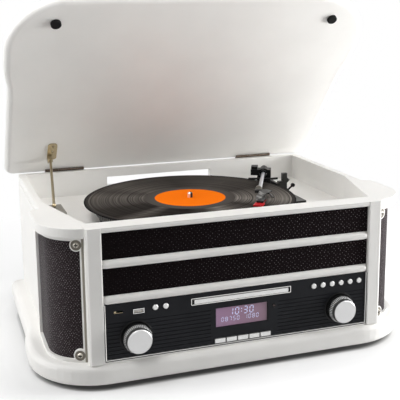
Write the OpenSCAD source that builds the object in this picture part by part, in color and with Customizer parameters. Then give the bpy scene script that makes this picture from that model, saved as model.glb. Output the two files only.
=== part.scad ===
// Stereo music centre: record player under a stayed lid, disc drawer, radio panel and curved
// side speakers. The origin is on the table, under the middle of the object. +X is to the
// listener's right, +Y to the back and +Z up. Sizes are in millimetres.

/* [Cabinet] */
// Height of the rubber feet
foot_h = 6; // [3:0.5:12]
// Radius of the rubber feet
foot_r = 12; // [8:0.5:18]
// Thickness of the plinth board
plinth_t = 26; // [20:0.5:32]
// How far the plinth and lid stand out past the side walls
plinth_ledge = 20; // [16:0.5:24]
// How far the plinth and lid swell past their straight sides
swell = 6; // [3:0.5:9]
// Radius of the swollen front corners of the plinth and lid
corner_r = 90; // [70:1:110]
// Rounding of the plinth's edge
plinth_round = 9; // [4:0.5:9]
// How far the plinth stands out in front of the pilasters
plinth_lip = 6; // [2:0.5:10]
// How far the plinth stands out behind the back wall
plinth_tail = 10; // [4:0.5:14]
// Height of the cabinet from plinth to rim
cabinet_h = 171; // [165:1:185]
// Half width of the cabinet over its side walls
cabinet_half = 236; // [233:0.5:238]
// Thickness of the cabinet's wall boards
wall_t = 10; // [8:0.5:11]
// Depth from the front of the pilasters to the back wall
cabinet_d = 339; // [336:1:350]
// Thickness of the rim board
rim_t = 13; // [10:0.5:16]
// How far the rim's corner lobes stand out past the side walls
lobe_step = 13; // [11:0.5:15]
// Radius of the rim's corner lobes
lobe_r = 59; // [56:0.5:62]
// How far the lobes sit behind the front of the pilasters
lobe_setback = 6; // [5:0.5:8]
// Depth at which the lobes step in to the side walls
lobe_end = 122; // [118:0.5:126]
// Depth at which the well's side walls turn inward
kink_y = 155; // [150:1:165]
// How far each side of the well comes in at its front corner
well_taper = 33; // [30:0.5:35]
// Depth of the top rail
rail_d = 28; // [26:0.5:30]
// Height of the top rail
rail_h = 6.5; // [5:0.25:8]
// Depth of the well from the rim down to the deck
well_d = 39; // [38:0.5:42]
// Thickness of the deck board
deck_t = 9; // [6:0.5:12]

/* [Front] */
// Width of each speaker bay, from the opening to the side wall
speaker_w = 57; // [56:0.5:58]
// Width of each pilaster
pilaster_w = 19; // [18.5:0.25:19.5]
// Depth of each pilaster
pilaster_d = 20; // [18:0.5:20]
// Chamfer on the pilasters' front edges
pilaster_chamfer = 2.5; // [1:0.25:3]
// Height of the sill under the control panel
sill_h = 2; // [1.5:0.25:3]
// Height of the control panel with its trim
panel_h = 72.5; // [70:0.5:76]
// Height of each round cross bar
bar_h = 10.8; // [9:0.2:12]
// Depth of the cross bars behind the pilaster fronts
bar_d = 16; // [14:0.5:18]
// Depth of the cloth strips behind the pilaster fronts
cloth_setback = 5; // [3:0.5:6]
// Thickness of the cloth-covered strips
cloth_board_t = 4; // [3:0.25:5]
// Width of the silver trim round the control panel
trim_w = 1; // [0.8:0.1:1.2]
// Setback of the control panel behind the pilaster fronts
panel_setback = 3.5; // [3:0.25:5]
// Thickness of the control panel
panel_t = 3.5; // [3:0.25:4]
// Pitch of the grooves across the panel
groove_pitch = 5; // [4:0.25:6]

/* [Controls] */
// Diameter of the two knobs over their ribs
knob_dia = 36; // [32:0.5:37]
// Diameter of the knobs' silver caps
cap_dia = 31; // [27:0.5:31]
// How far the knobs stand out of the panel
knob_out = 18; // [15:0.5:20]
// Distance of each knob from the end of the opening
knob_in = 40; // [35:0.5:45]
// Height of the knobs over the plinth
knob_up = 29; // [27:0.5:31]
// Diameter of the knob shafts
knob_shaft_dia = 6; // [5:0.25:7]
// Diameter of the round buttons
button_dia = 7; // [6:0.25:8]
// Travel of the round buttons
button_travel = 1; // [0.5:0.1:1.2]
// Distance between neighbouring transport buttons
button_pitch = 13.3; // [12:0.1:14]
// Height of the button row over the plinth
button_up = 63.7; // [62:0.1:64]
// Width of the small keys under the display
key_w = 14; // [10:0.2:14]
// Height of the small keys under the display
key_h = 5.6; // [4:0.2:5.6]
// Distance between neighbouring keys
key_pitch = 15.6; // [15.4:0.1:16.4]
// Height of the keys over the plinth
key_up = 8; // [8:0.1:9]
// Width of the display window
display_w = 71; // [66:0.5:74]
// Height of the display window
display_h = 26; // [22:0.5:26]
// Height of the middle of the display over the plinth
display_up = 38; // [37:0.25:39]
// Width of the disc drawer's front
tray_w = 128; // [124:0.5:130]
// Height of the disc drawer's front
tray_h = 5.4; // [5.2:0.1:6]
// Height of the disc drawer over the plinth
tray_up = 63.9; // [63:0.1:64.5]
// Depth of the disc drawer's tray
tray_d = 144; // [136:1:150]

/* [Record player] */
// Diameter of the record
record_dia = 301.6; // [298:0.2:302]
// Thickness of the record
record_t = 2; // [1.4:0.1:2.4]
// Diameter of the record's label
label_dia = 100; // [96:0.5:102]
// Record centre to the left of the middle
record_x = -15.5; // [-17:0.5:-12]
// Distance of the record's centre from the back wall
record_back = 174; // [170:0.5:175]
// Height of the record over the deck
record_up = 23; // [22.5:0.25:24]
// Diameter of the platter
platter_dia = 272; // [250:1:280]
// Height of the platter's rim
platter_h = 13; // [11:0.25:13]
// Diameter of the spindle
spindle_dia = 7.1; // [7:0.02:7.14]
// Thickness of the turntable chassis over the deck
chassis_h = 8; // [6.5:0.25:8]
// Diameter of the belt track under the platter
track_dia = 130; // [110:1:140]
// Diameter of the motor pulley
pulley_dia = 12; // [9:0.5:15]
// Distance of the motor from the spindle
motor_reach = 95; // [90:0.5:98]
// Tonearm pivot to the right of the record's centre
arm_right = 151.5; // [150:0.5:153]
// Tonearm pivot behind the record's centre
arm_behind = 89; // [87:0.5:91]
// Length from the tonearm's pivot to the stylus
arm_len = 191; // [188:0.5:192]
// Swing of the tonearm over the record
arm_swing = -25.6; // [-27:0.1:-23]
// Height of the tonearm's axis over the record
arm_up = 7; // [7:0.25:8]
// Diameter of the tonearm's tube
arm_dia = 5.6; // [5:0.2:6]

/* [Lid] */
// Thickness of the lid
lid_t = 17; // [14:0.5:18]
// How far the lid stands open, in degrees
lid_open = 49.5; // [40:0.5:60]
// Depth at which the closed lid begins
lid_front = 6; // [2:0.5:10]
// Gap between the closed lid and the rim
lid_gap = 4.7; // [4.7:0.1:6]
// Length of each lid hinge
hinge_len = 61; // [50:1:70]
// Diameter of the hinge pins
hinge_pin_dia = 2.2; // [1.8:0.1:2.6]
// Diameter of the hinge knuckles
knuckle_dia = 4.4; // [4:0.1:4.4]
// Diameter of the stay rod
stay_dia = 4; // [3:0.25:4.5]
// Distance of the stay's pivot from the hinge pin, along the lid
stay_reach = 31; // [29:0.5:34]

/* [Speakers] */
// Setback of the grille from the edge of the rim's lobes
grille_inset = 7.5; // [6.5:0.25:9]
// Thickness of the grille's trim frame
grille_frame_t = 3.5; // [3:0.25:4]
// Width of the grille's trim frame
grille_border = 4; // [3:0.25:6]
// Thickness of the cloth-covered grille panel
grille_cloth_t = 3; // [2:0.25:3.5]
// Diameter of each speaker's flange
driver_dia = 92; // [80:1:94]
// Depth of each speaker behind its board
driver_d = 42; // [34:1:48]

/* [Clearances] */
// Radial clearance of shafts and pins that turn
turn_gap = 0.05; // [0.02:0.01:0.1]
// Clearance round buttons, keys and the drawer
slide_gap = 0.4; // [0.2:0.05:0.6]
// Clearance between neighbouring pieces that only stand side by side
seat_gap = 0.2; // [0.1:0.05:0.3]

/* [Hidden] */
$fn = 48;
eps = 0.01;

// Levels above the table
base_z = foot_h + plinth_t;
top_z = base_z + cabinet_h;
rim_z = top_z - rim_t;
deck_z = top_z - well_d;
rail_z = top_z - rail_h;
panel_z = base_z + sill_h;
panel_top = panel_z + panel_h;
cloth_h = (rail_z - panel_top - 2 * bar_h) / 2;
chassis_z = deck_z + chassis_h;
platter_top = deck_z + record_up;
record_top = platter_top + record_t;

// Depths behind the pilaster fronts
back_y = cabinet_d + wall_t;
leaf_t = 1.2;
pin_y = back_y + leaf_t - knuckle_dia / 2;
pin_z = top_z + lid_gap / 2;
lid_z = top_z + lid_gap;
lid_round = lid_t / 2;
knob_front = panel_setback - knob_out;
lid_back = back_y + lid_round;
lid_reach_back = pin_y + (back_y - pin_y) * cos(lid_open)
    + (lid_gap / 2 + lid_round) * sin(lid_open) + lid_round;
middle_y = (knob_front + lid_reach_back) / 2;

// Outlines seen from above
well_half = cabinet_half - wall_t;
well_front_half = well_half - well_taper;
opening_half = cabinet_half - speaker_w;
side_half = cabinet_half + plinth_ledge;
lobe_half = cabinet_half + lobe_step;
record_y = cabinet_d - record_back;
arm_x = record_x + arm_right;
arm_y = record_y + arm_behind;
knob_x = opening_half - knob_in;
slope = (well_half - well_front_half) / (kink_y - rail_d);
wall_y = pilaster_d + 3;
slant_t = wall_t - 1;
slant_angle = atan(slope);
slant_w = slant_t / cos(slant_angle);

// Places the children in the object's own frame, from depths behind the pilaster fronts
module seat() translate([0, -middle_y, 0]) children();

// Turns the children, drawn with the lid shut, up to the open lid
module on_lid()
    translate([0, pin_y, pin_z]) rotate([-lid_open, 0, 0]) translate([0, -pin_y, -pin_z])
        children();

// Turns the children, drawn with the arm pointing to the front, over the record
module on_arm() translate([arm_x, arm_y, 0]) rotate([0, 0, arm_swing]) children();

module on_side(s) if (s > 0) children(); else mirror([1, 0, 0]) children();

// Points of an arc, from one angle to another
function arc(c, r, from, to, steps) =
    [for (i = [0:steps]) let (a = from + (to - from) * i / steps) c + r * [cos(a), sin(a)]];

// Board outline with swollen front corners, drawn in by inset. Behind the corners the side
// comes in by out over the length run, along an outward and then an inward arc.
function swollen(side, out, front, back, r_front, y_bulge, run, r_in, r_back, inset) =
    let (both = (out * out + run * run) / (2 * out),
         r_out = both - r_in,
         turn = acos(1 - out / both),
         c_out = [side + out - r_out, y_bulge],
         c_in = c_out + both * [cos(turn), sin(turn)],
         inward = arc(c_in, r_in + inset, 180 + turn, 180, 5),
         half = concat(arc([side + out - r_front, front + r_front], r_front - inset, -90, 0, 14),
                       arc(c_out, r_out - inset, 0, turn, 5),
                       [for (i = [1:5]) inward[i]],
                       arc([side - r_back, back - r_back], r_back - inset, 0, 90, 5)))
    concat(half, [for (i = [len(half) - 1:-1:0]) [-half[i][0], half[i][1]]]);

// Skin over outlines of equal length, stacked from the lowest
module stack(rings) {
    n = len(rings[0]);
    last = len(rings) - 1;
    polyhedron(
        points = [for (r = rings) for (p = r) p],
        faces = concat([[for (i = [0:n - 1]) i]],
                       [[for (i = [n - 1:-1:0]) last * n + i]],
                       [for (k = [0:last - 1]) for (i = [0:n - 1])
                           let (j = (i + 1) % n)
                           [k * n + i, (k + 1) * n + i, (k + 1) * n + j, k * n + j]]));
}

function at_height(outline, z) = [for (p = outline) [p[0], p[1], z]];

// Plinth and lid share one outline
swell_at = 112;
swell_run = 52;
board_back_r = 14;
function board_outline(front, back, inset) =
    swollen(side_half, swell, front, back, corner_r, front + swell_at, swell_run,
            swell_run, board_back_r, inset);

// Board between two levels with its edge rounded above and below
module rounded_board(front, back, low, high, r_low, r_high) {
    steps = 5;
    lower = [for (i = [0:steps]) let (a = 90 * i / steps)
        at_height(board_outline(front, back, r_low * (1 - sin(a))), low + r_low * (1 - cos(a)))];
    upper = [for (i = [0:steps]) let (a = 90 * i / steps)
        at_height(board_outline(front, back, r_high * (1 - cos(a))), high - r_high * (1 - sin(a)))];
    stack(concat(lower, r_low + r_high < high - low ? upper : [for (i = [1:steps]) upper[i]]));
}

// Well of the record player, seen from above
module well_plan()
    polygon([[-well_half, cabinet_d], [-well_half, kink_y], [-well_front_half, rail_d],
             [well_front_half, rail_d], [well_half, kink_y], [well_half, cabinet_d]]);

module plinth() color("white") seat()
    rounded_board(-plinth_lip, back_y + plinth_tail, foot_h, base_z, plinth_round - 2,
                  plinth_round);

foot_in = 51;
foot_front = 52;
foot_back = 41;
module feet() color("dimgray") seat()
    for (x = [-1, 1], y = [foot_front, back_y + plinth_tail - foot_back])
        translate([x * (side_half - foot_in), y, 0]) rotate_extrude()
            polygon([[0, 0], [foot_r - 1.5, 0], [foot_r, 1.5], [foot_r, foot_h], [0, foot_h]]);

// Side wall: a straight board behind, folded inward in front to carry the speaker
driver_y = 74;
driver_z = (base_z + rim_z) / 2;
driver_x = well_front_half + (driver_y - rail_d) * slope;
driver_hole_r = driver_dia / 2 - 4;

module at_driver()
    translate([driver_x, driver_y, driver_z]) rotate([0, 0, -slant_angle]) rotate([0, 90, 0])
        translate([0, 0, slant_t]) children();

module side_wall(s) color("white") seat() on_side(s) difference() {
    translate([0, 0, base_z]) linear_extrude(rim_z - base_z) union() {
        translate([well_half, lobe_end]) square([wall_t, cabinet_d - lobe_end]);
        polygon([[well_half, kink_y],
                 [well_front_half - (rail_d - wall_y) * slope, wall_y],
                 [well_front_half - (rail_d - wall_y) * slope + slant_w, wall_y],
                 [well_half + slant_w, kink_y]]);
    }
    at_driver() translate([0, 0, -slant_t * 2]) cylinder(h = slant_t * 3, r = driver_hole_r);
}
module side_wall_left() side_wall(-1);
module side_wall_right() side_wall(1);

// Back wall, with the slot that lets a record tilt in and the opening for the sockets
slot_w = 175;
slot_h = 14;
slot_x = record_x + 4.5;
socket_w = 220;
socket_h = 60;
socket_z = base_z + 58;
module back_wall() color("white") seat() difference() {
    translate([-cabinet_half, cabinet_d, base_z]) cube([2 * cabinet_half, wall_t, rim_z - base_z]);
    translate([slot_x - slot_w / 2, cabinet_d - 1, rim_z - slot_h])
        cube([slot_w, wall_t + 2, slot_h + 1]);
    translate([-socket_w / 2, cabinet_d - 1, socket_z - socket_h / 2])
        cube([socket_w, wall_t + 2, socket_h]);
}

// Rim round the well, with rounded lobes over the speakers
function rim_outline(inset) =
    swollen(cabinet_half, lobe_step, lobe_setback, back_y, lobe_r, lobe_end - lobe_step,
            lobe_step, 2, 4, inset);
module rim_board() color("white") seat() difference() {
    edge = 2.5;
    stack(concat(
        [for (i = [0:3]) let (a = 30 * i)
            at_height(rim_outline(edge * (1 - sin(a))), rim_z + edge * (1 - cos(a)))],
        [at_height(rim_outline(0), top_z - 0.6), at_height(rim_outline(0.6), top_z)]));
    translate([0, 0, rim_z - 1]) linear_extrude(rim_t + 2) {
        well_plan();
        translate([-opening_half - pilaster_w - seat_gap, -1])
            square([2 * (opening_half + pilaster_w + seat_gap), pilaster_d + 1]);
        translate([-well_front_half, pilaster_d - 1])
            square([2 * well_front_half, rail_d - pilaster_d + 1]);
    }
}

// Deck board under the turntable
deck_hole_r = 112;
module deck_board() color("white") seat() translate([0, 0, deck_z - deck_t])
    linear_extrude(deck_t) difference() {
        corner = well_front_half - (rail_d - wall_y) * slope;
        polygon([[-well_half, cabinet_d], [-well_half, kink_y], [-corner, wall_y],
                 [-opening_half, wall_y], [-opening_half, bar_d], [opening_half, bar_d],
                 [opening_half, wall_y], [corner, wall_y], [well_half, kink_y],
                 [well_half, cabinet_d]]);
        translate([record_x, record_y]) circle(deck_hole_r);
    }

// Front frame: two pilasters, the rail over them and the sill under the panel
module front_frame() color("white") seat() {
    c = pilaster_chamfer;
    for (s = [-1, 1]) on_side(s) translate([opening_half, 0, base_z])
        linear_extrude(top_z - base_z)
            polygon([[0, c / 2], [c / 2, 0], [pilaster_w - c, 0], [pilaster_w, c],
                     [pilaster_w, pilaster_d], [0, pilaster_d]]);
    difference() {
        translate([-opening_half, 0, 0]) rotate([90, 0, 90]) linear_extrude(2 * opening_half)
            union() {
                translate([rail_h / 2, rail_z]) square([rail_d - rail_h / 2, rail_h]);
                translate([rail_h / 2, rail_z + rail_h / 2]) circle(rail_h / 2);
                translate([0.5, rail_z + rail_h / 2]) square([rail_h, rail_h / 2]);
            }
        for (s = [-1, 1]) translate([s * (opening_half - 0.5) - 0.5, -1, rail_z - 1])
            cube([1, 2, rail_h + 2]);
    }
    for (s = [-1, 1]) on_side(s) translate([opening_half - 1, pilaster_d - 1, rail_z])
        cube([well_front_half - opening_half + 1, rail_d - pilaster_d + 1, rail_h]);
    translate([-opening_half, 1, base_z]) cube([2 * opening_half, 11, sill_h]);
}

// Round-fronted bars over and between the cloth strips
bar_r = bar_h / 2;
module cross_bars() color("white") seat()
    for (z = [panel_top, panel_top + bar_h + cloth_h]) translate([0, bar_r, z + bar_r]) {
        reach = opening_half - bar_r;
        rotate([0, 90, 0]) cylinder(h = 2 * reach, r = bar_r, center = true);
        for (s = [-1, 1]) translate([s * reach, 0, 0]) sphere(bar_r);
        translate([-opening_half, 0, -bar_r]) cube([2 * opening_half, bar_d - bar_r, bar_h]);
    }

module front_cloth_strips() color("black") seat()
    for (z = [panel_top + bar_h, panel_top + 2 * bar_h + cloth_h])
        translate([-opening_half, cloth_setback, z])
            cube([2 * opening_half, cloth_board_t, cloth_h]);

// Curved grilles round the front corners
grille_c = [lobe_half - lobe_r, lobe_setback + lobe_r];
grille_r = lobe_r - grille_inset;
grille_x = opening_half + pilaster_w + seat_gap;
grille_h = rim_z - base_z;

// Band between two radii round the corner, drawn in from both ends
module grille_band(r_out, r_in, ends) intersection() {
    difference() {
        union() {
            translate(grille_c) circle(r_out);
            translate([0, grille_c[1]]) square([grille_c[0] + r_out, lobe_end - grille_c[1]]);
        }
        translate(grille_c) circle(r_in);
        translate([0, grille_c[1]]) square([grille_c[0] + r_in, lobe_end]);
        translate([-1, grille_c[1]]) square([grille_c[0], lobe_end]);
    }
    translate([grille_x + ends, 0]) square([grille_r, lobe_end - ends]);
}

screw_turn = -71;
screw_in = 9;
lobe_screw_r = 8;
module at_screws()
    for (z = [base_z + screw_in, rim_z - screw_in])
        translate([grille_c[0], grille_c[1], z]) rotate([0, 0, screw_turn]) rotate([0, 90, 0])
            translate([0, 0, grille_r]) children();

module grille_frame(s) color("whitesmoke") seat() on_side(s) difference() {
    translate([0, 0, base_z]) linear_extrude(grille_h)
        grille_band(grille_r, grille_r - grille_frame_t, 0);
    difference() {
        translate([0, 0, base_z + grille_border]) linear_extrude(grille_h - 2 * grille_border)
            grille_band(grille_r + 2, grille_r - grille_frame_t - 2, grille_border);
        at_screws() translate([0, 0, -grille_frame_t - 3])
            cylinder(h = grille_frame_t + 6, r = lobe_screw_r);
    }
}
module grille_frame_left() grille_frame(-1);
module grille_frame_right() grille_frame(1);

module grille_cloth(s) color("black") seat() on_side(s) translate([0, 0, base_z])
    linear_extrude(grille_h)
        grille_band(grille_r - grille_frame_t, grille_r - grille_frame_t - grille_cloth_t, 0);
module grille_cloth_left() grille_cloth(-1);
module grille_cloth_right() grille_cloth(1);

module grille_screws() color("silver") seat()
    for (s = [-1, 1]) on_side(s) at_screws() difference() {
        rotate_extrude()
            polygon([[0, 0], [3.4, 0], [3.4, 0.5], [2.6, 1.4], [1.2, 1.8], [0, 1.8]]);
        for (a = [0, 90]) rotate([0, 0, a]) translate([-0.4, -1.8, 0.7]) cube([0.8, 3.6, 2]);
    }

// Loudspeaker: flange, cone, basket and magnet in one turned piece
module speaker(s) color("dimgray") seat() on_side(s) at_driver() {
    r = driver_hole_r - 0.5;
    cap_r = 12;
    coil_r = 14;
    magnet_r = 28;
    magnet_h = 14;
    rotate_extrude()
        polygon([[0, -driver_d], [magnet_r, -driver_d], [magnet_r, -driver_d + magnet_h],
                 [coil_r + 8, -driver_d + magnet_h], [r, -3], [r, 0], [driver_dia / 2, 0],
                 [driver_dia / 2, 2], [r - 1, 2], [r - 4, 3.4], [r - 8, 1.5], [coil_r, -16],
                 [cap_r, -14], [cap_r * 0.7, -10], [0, -8]]);
}
module speaker_left() speaker(-1);
module speaker_right() speaker(1);

// Control panel and what comes through it
trim_gap = 0.3;
trim_out = 0.9;
panel_half = opening_half - trim_out - trim_w - trim_gap;
panel_low = panel_z + trim_out + trim_w + trim_gap;
panel_high = panel_top - 0.3;
panel_back = panel_setback + panel_t;
control_z = base_z + button_up;
key_z = base_z + key_up;
display_z = base_z + display_up;
tray_z = base_z + tray_up;
knob_z = base_z + knob_up;
usb_x = 43.7 - opening_half;
usb_w = 14;
usb_h = 6;
card_x = 18.2 - opening_half;
card_w = 11.2;
card_h = 2.2;
infrared_x = 44.4;
infrared_z = display_z + 6.7;
infrared_r = 2;
left_buttons = [64.6 - opening_half, 78 - opening_half];
transport_x = opening_half - 77.9;
plain_left = 42;
plain_right = 49.5;
recess_r = knob_dia / 2 + 2;
drawer_w = tray_w + 6.4;
drawer_h = tray_h + 1.8;

function key_place(i) = (i - 3) * key_pitch + 1;
function button_place(i) = transport_x + (i - 1) * button_pitch;

module panel_hole(x, z, w, h)
    translate([x - w / 2, panel_setback - 1, z - h / 2]) cube([w, panel_t + 2, h]);
module panel_bore(x, z, r)
    translate([x, panel_back + 1, z]) rotate([90, 0, 0]) cylinder(h = panel_t + 2, r = r);

module control_panel() color("darkslategray") seat() difference() {
    translate([-panel_half, panel_setback, panel_low])
        cube([2 * panel_half, panel_t, panel_high - panel_low]);
    for (z = [panel_low + groove_pitch:groove_pitch:control_z - 12])
        for (s = [-1, 1]) translate([s > 0 ? plain_right : -panel_half - 1, panel_setback - 1, z])
            cube([panel_half + 1 - (s > 0 ? plain_right : plain_left), 1.7, 1]);
    for (s = [-1, 1]) {
        translate([s * knob_x, panel_setback + 1.4, knob_z]) rotate([90, 0, 0])
            cylinder(h = 3, r = recess_r);
        panel_bore(s * knob_x, knob_z, knob_shaft_dia / 2 + turn_gap);
    }
    for (x = left_buttons) panel_bore(x, control_z, button_dia / 2 + slide_gap);
    for (i = [1:6]) panel_bore(button_place(i), control_z, button_dia / 2 + slide_gap);
    for (i = [1:5]) panel_hole(key_place(i), key_z, key_w + 2 * slide_gap, key_h + 2 * slide_gap);
    panel_hole(usb_x, control_z - 2, usb_w + 2 * slide_gap, usb_h + 2 * slide_gap);
    panel_hole(card_x, control_z, card_w, card_h);
    panel_hole(0, tray_z, drawer_w, drawer_h);
    panel_hole(0, display_z, display_w, display_h);
    panel_bore(infrared_x, infrared_z, infrared_r);
}

// Silver frame under and beside the panel, with a lip behind it all round
trim_front = 1.5;
lip_w = 4;
lip_t = 2;
module trim_window(half, low, high, y, d)
    translate([-half, y, low]) cube([2 * half, d, high - low]);
module panel_trim() color("silver") seat() difference() {
    outer = opening_half - trim_out;
    low = panel_z + trim_out;
    trim_window(outer, low, panel_top - 0.2, trim_front, panel_back + lip_t - trim_front);
    trim_window(outer - trim_w, low + trim_w, panel_top + 1, 0, panel_back);
    trim_window(panel_half - lip_w, panel_low + 1, panel_high - 2, 0, panel_back + lip_t + 1);
}

// Circuit board behind the panel, with its display, switches, pots and remote eye
board_y = 14;
board_t = 1.6;
switch_front = panel_back + 1.6 + button_travel;
pot_r = 8;
switch_edge = 13.1;
switch_in = transport_x - switch_edge;
module display_board() color("darkgreen") seat() {
    difference() {
        union() {
            translate([-panel_half + 4, board_y, panel_low + 1])
                cube([2 * panel_half - 8, board_t, tray_z - tray_h - panel_low - 2]);
            for (s = [-1, 1]) translate([s > 0 ? switch_in : 4 - panel_half, board_y, panel_low + 1])
                cube([panel_half - 4 - switch_in, board_t, control_z + 6 - panel_low]);
        }
        for (s = [-1, 1]) translate([s * knob_x, board_y + board_t + 1, knob_z])
            rotate([90, 0, 0]) cylinder(h = board_t + 2, r = 3.4);
    }
    translate([-display_w / 2 + 0.2, panel_setback + 1.7, display_z - display_h / 2 + 0.2])
        cube([display_w - 0.4, board_y - panel_setback - 1.7, display_h - 0.4]);
    translate([infrared_x, board_y, infrared_z]) rotate([90, 0, 0])
        cylinder(h = board_y - panel_setback - 0.4, r = infrared_r - 0.1);
    for (x = concat(left_buttons, [for (i = [1:6]) button_place(i)]))
        translate([x - 3, switch_front, control_z - 3]) cube([6, board_y - switch_front, 6]);
    for (i = [1:5]) translate([key_place(i) - 3, switch_front, key_z - 2])
        cube([6, board_y - switch_front, 4]);
    for (s = [-1, 1]) translate([s * knob_x, 0, knob_z]) rotate([-90, 0, 0]) difference() {
        translate([0, 0, panel_back + 0.5]) cylinder(h = board_y - panel_back - 0.5, r = pot_r);
        translate([0, 0, panel_back]) cylinder(h = board_y, r = knob_shaft_dia / 2 + turn_gap);
    }
}

module usb_socket() color("silver") seat() difference() {
    wall = 0.6;
    translate([usb_x - usb_w / 2, panel_setback - 0.3, control_z - 2 - usb_h / 2])
        cube([usb_w, board_y - panel_setback + 0.3, usb_h]);
    difference() {
        translate([usb_x - usb_w / 2 + wall, 0, control_z - 2 - usb_h / 2 + wall])
            cube([usb_w - 2 * wall, board_y - 2, usb_h - 2 * wall]);
        translate([usb_x - usb_w / 2 + 1.4, panel_setback + 0.6, control_z - 2 + 0.1])
            cube([usb_w - 2.8, board_y, 1.9]);
    }
}

// Disc drive: an open-fronted case on four legs, and the drawer that slides in it
drive_y = board_y + board_t + 1.4;
drive_half = tray_w / 2 + 10;
drive_low = tray_z - 12;
drive_high = tray_z + 12;
drive_d = tray_d + 24;
tray_plate_half = tray_w / 2 - 0.4;
tray_plate_t = 5;
disc_r = 60.5;
module cd_mechanism() color("gray") seat() {
    difference() {
        translate([-drive_half, drive_y, drive_low])
            cube([2 * drive_half, drive_d, drive_high - drive_low]);
        translate([-drive_half + 2, drive_y + 3, drive_low + 2])
            cube([2 * drive_half - 4, drive_d - 5, drive_high - drive_low - 4]);
        translate([-tray_plate_half - slide_gap, drive_y - 1, tray_z - tray_plate_t / 2 - slide_gap])
            cube([2 * (tray_plate_half + slide_gap), 5, tray_plate_t + 2 * slide_gap]);
    }
    for (s = [-1, 1]) translate([s * (tray_plate_half - 2) - 2, drive_y + 3, drive_low + 2])
        cube([4, drive_d - 5, tray_z - tray_plate_t / 2 - slide_gap - drive_low - 2]);
    for (x = [-1, 1], y = [drive_y + 10, drive_y + drive_d - 10])
        translate([x * (drive_half - 6), y, base_z]) cylinder(h = drive_low - base_z, r = 4);
}

module cd_tray() color("silver") seat() {
    translate([-tray_w / 2, panel_setback - 1.1, tray_z - tray_h / 2]) cube([tray_w, 4, tray_h]);
    difference() {
        translate([-tray_plate_half, panel_setback + 1, tray_z - tray_plate_t / 2])
            cube([2 * tray_plate_half, tray_d, tray_plate_t]);
        translate([0, panel_setback + 12 + disc_r, tray_z + 0.6]) cylinder(h = 5, r = disc_r);
        translate([0, panel_setback + 12 + disc_r, tray_z - 5]) cylinder(h = 9, r = 18);
        translate([-15, panel_setback + 12 + disc_r, tray_z - 5]) cube([30, tray_d, 10]);
    }
}

// Knob with a ribbed skirt, a silver cap and its own shaft
module knob(x) color("whitesmoke") seat() translate([x, panel_setback, knob_z])
    rotate([90, 0, 0]) {
        r = knob_dia / 2;
        cap_r = cap_dia / 2;
        skirt = knob_out - 4.5;
        ribs = 48;
        difference() {
            rotate_extrude()
                polygon([[0, -0.6], [r, -0.6], [r, skirt - 5], [cap_r + 0.2, skirt],
                         [cap_r + 0.2, skirt + 0.6], [cap_r, skirt + 0.6], [cap_r, knob_out - 1],
                         [cap_r - 1, knob_out], [0, knob_out]]);
            for (i = [0:ribs - 1]) rotate([0, 0, i * 360 / ribs])
                translate([r + 0.35, 0, -1]) cylinder(h = skirt, r = 0.8);
        }
        translate([0, 0, -panel_t - 4.5]) cylinder(h = panel_t + 5, r = knob_shaft_dia / 2);
    }
module volume_knob() knob(-knob_x);
module tuning_knob() knob(knob_x);

// Round button with a collar behind the panel
module round_button(x) color("silver") seat() translate([x, panel_setback, control_z])
    rotate([90, 0, 0]) rotate_extrude() {
        r = button_dia / 2;
        polygon([[0, -panel_t - 1.4], [r + 1, -panel_t - 1.4], [r + 1, -panel_t - 0.2],
                 [r, -panel_t - 0.2], [r, 1], [r - 0.6, 1.6], [0, 1.9]]);
    }
module standby_button() round_button(left_buttons[0]);
module source_button() round_button(left_buttons[1]);
module transport_button_1() round_button(button_place(1));
module transport_button_2() round_button(button_place(2));
module transport_button_3() round_button(button_place(3));
module transport_button_4() round_button(button_place(4));
module transport_button_5() round_button(button_place(5));
module transport_button_6() round_button(button_place(6));

// Small key with a collar behind the panel
module menu_key(i) color("silver") seat() translate([key_place(i), 0, key_z]) {
    translate([-key_w / 2, panel_setback - 1.6, -key_h / 2])
        cube([key_w, panel_t + 1.9, key_h]);
    translate([-key_w / 2, panel_back + 0.2, -key_h / 2 + 0.8])
        cube([key_w, 1.2, key_h]);
}
module menu_key_1() menu_key(1);
module menu_key_2() menu_key(2);
module menu_key_3() menu_key(3);
module menu_key_4() menu_key(4);
module menu_key_5() menu_key(5);

// Amplifier board on its spacers, with heat sink and capacitors
amplifier_w = 150;
amplifier_d = 90;
amplifier_in = 56;
amplifier_back = 34;
module amplifier_board() color("darkgreen") seat()
    translate([well_half - amplifier_in - amplifier_w, cabinet_d - amplifier_back - amplifier_d,
               base_z]) {
    w = amplifier_w;
    d = amplifier_d;
    up = 8;
    for (x = [6, w - 6], y = [6, d - 6]) translate([x, y, 0]) cylinder(h = up, r = 3);
    translate([0, 0, up]) cube([w, d, board_t]);
    translate([30, d - 22, up + board_t]) {
        cube([70, 4, 36]);
        for (i = [0:8]) translate([i * 8.5, 0, 0]) cube([2, 18, 36]);
    }
    for (x = [16, 120, 138]) translate([x, 24, up + board_t]) cylinder(h = 28, r = 7);
    translate([45, 16, up + board_t]) cube([34, 14, 6]);
}

// Mains transformer: laminated core with its winding
transformer_in = 66;
transformer_back = 84;
module transformer() color("saddlebrown") seat()
    translate([transformer_in - well_half, cabinet_d - transformer_back, base_z]) {
    translate([-30, -18, 0]) cube([60, 36, 3]);
    difference() {
        translate([-24, -10, 3]) cube([48, 20, 46]);
        for (s = [-1, 1]) translate([s * 12 - 4, -11, 11]) cube([8, 22, 30]);
    }
    translate([-16, -17, 11.2]) cube([32, 34, 29.6]);
}

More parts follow.
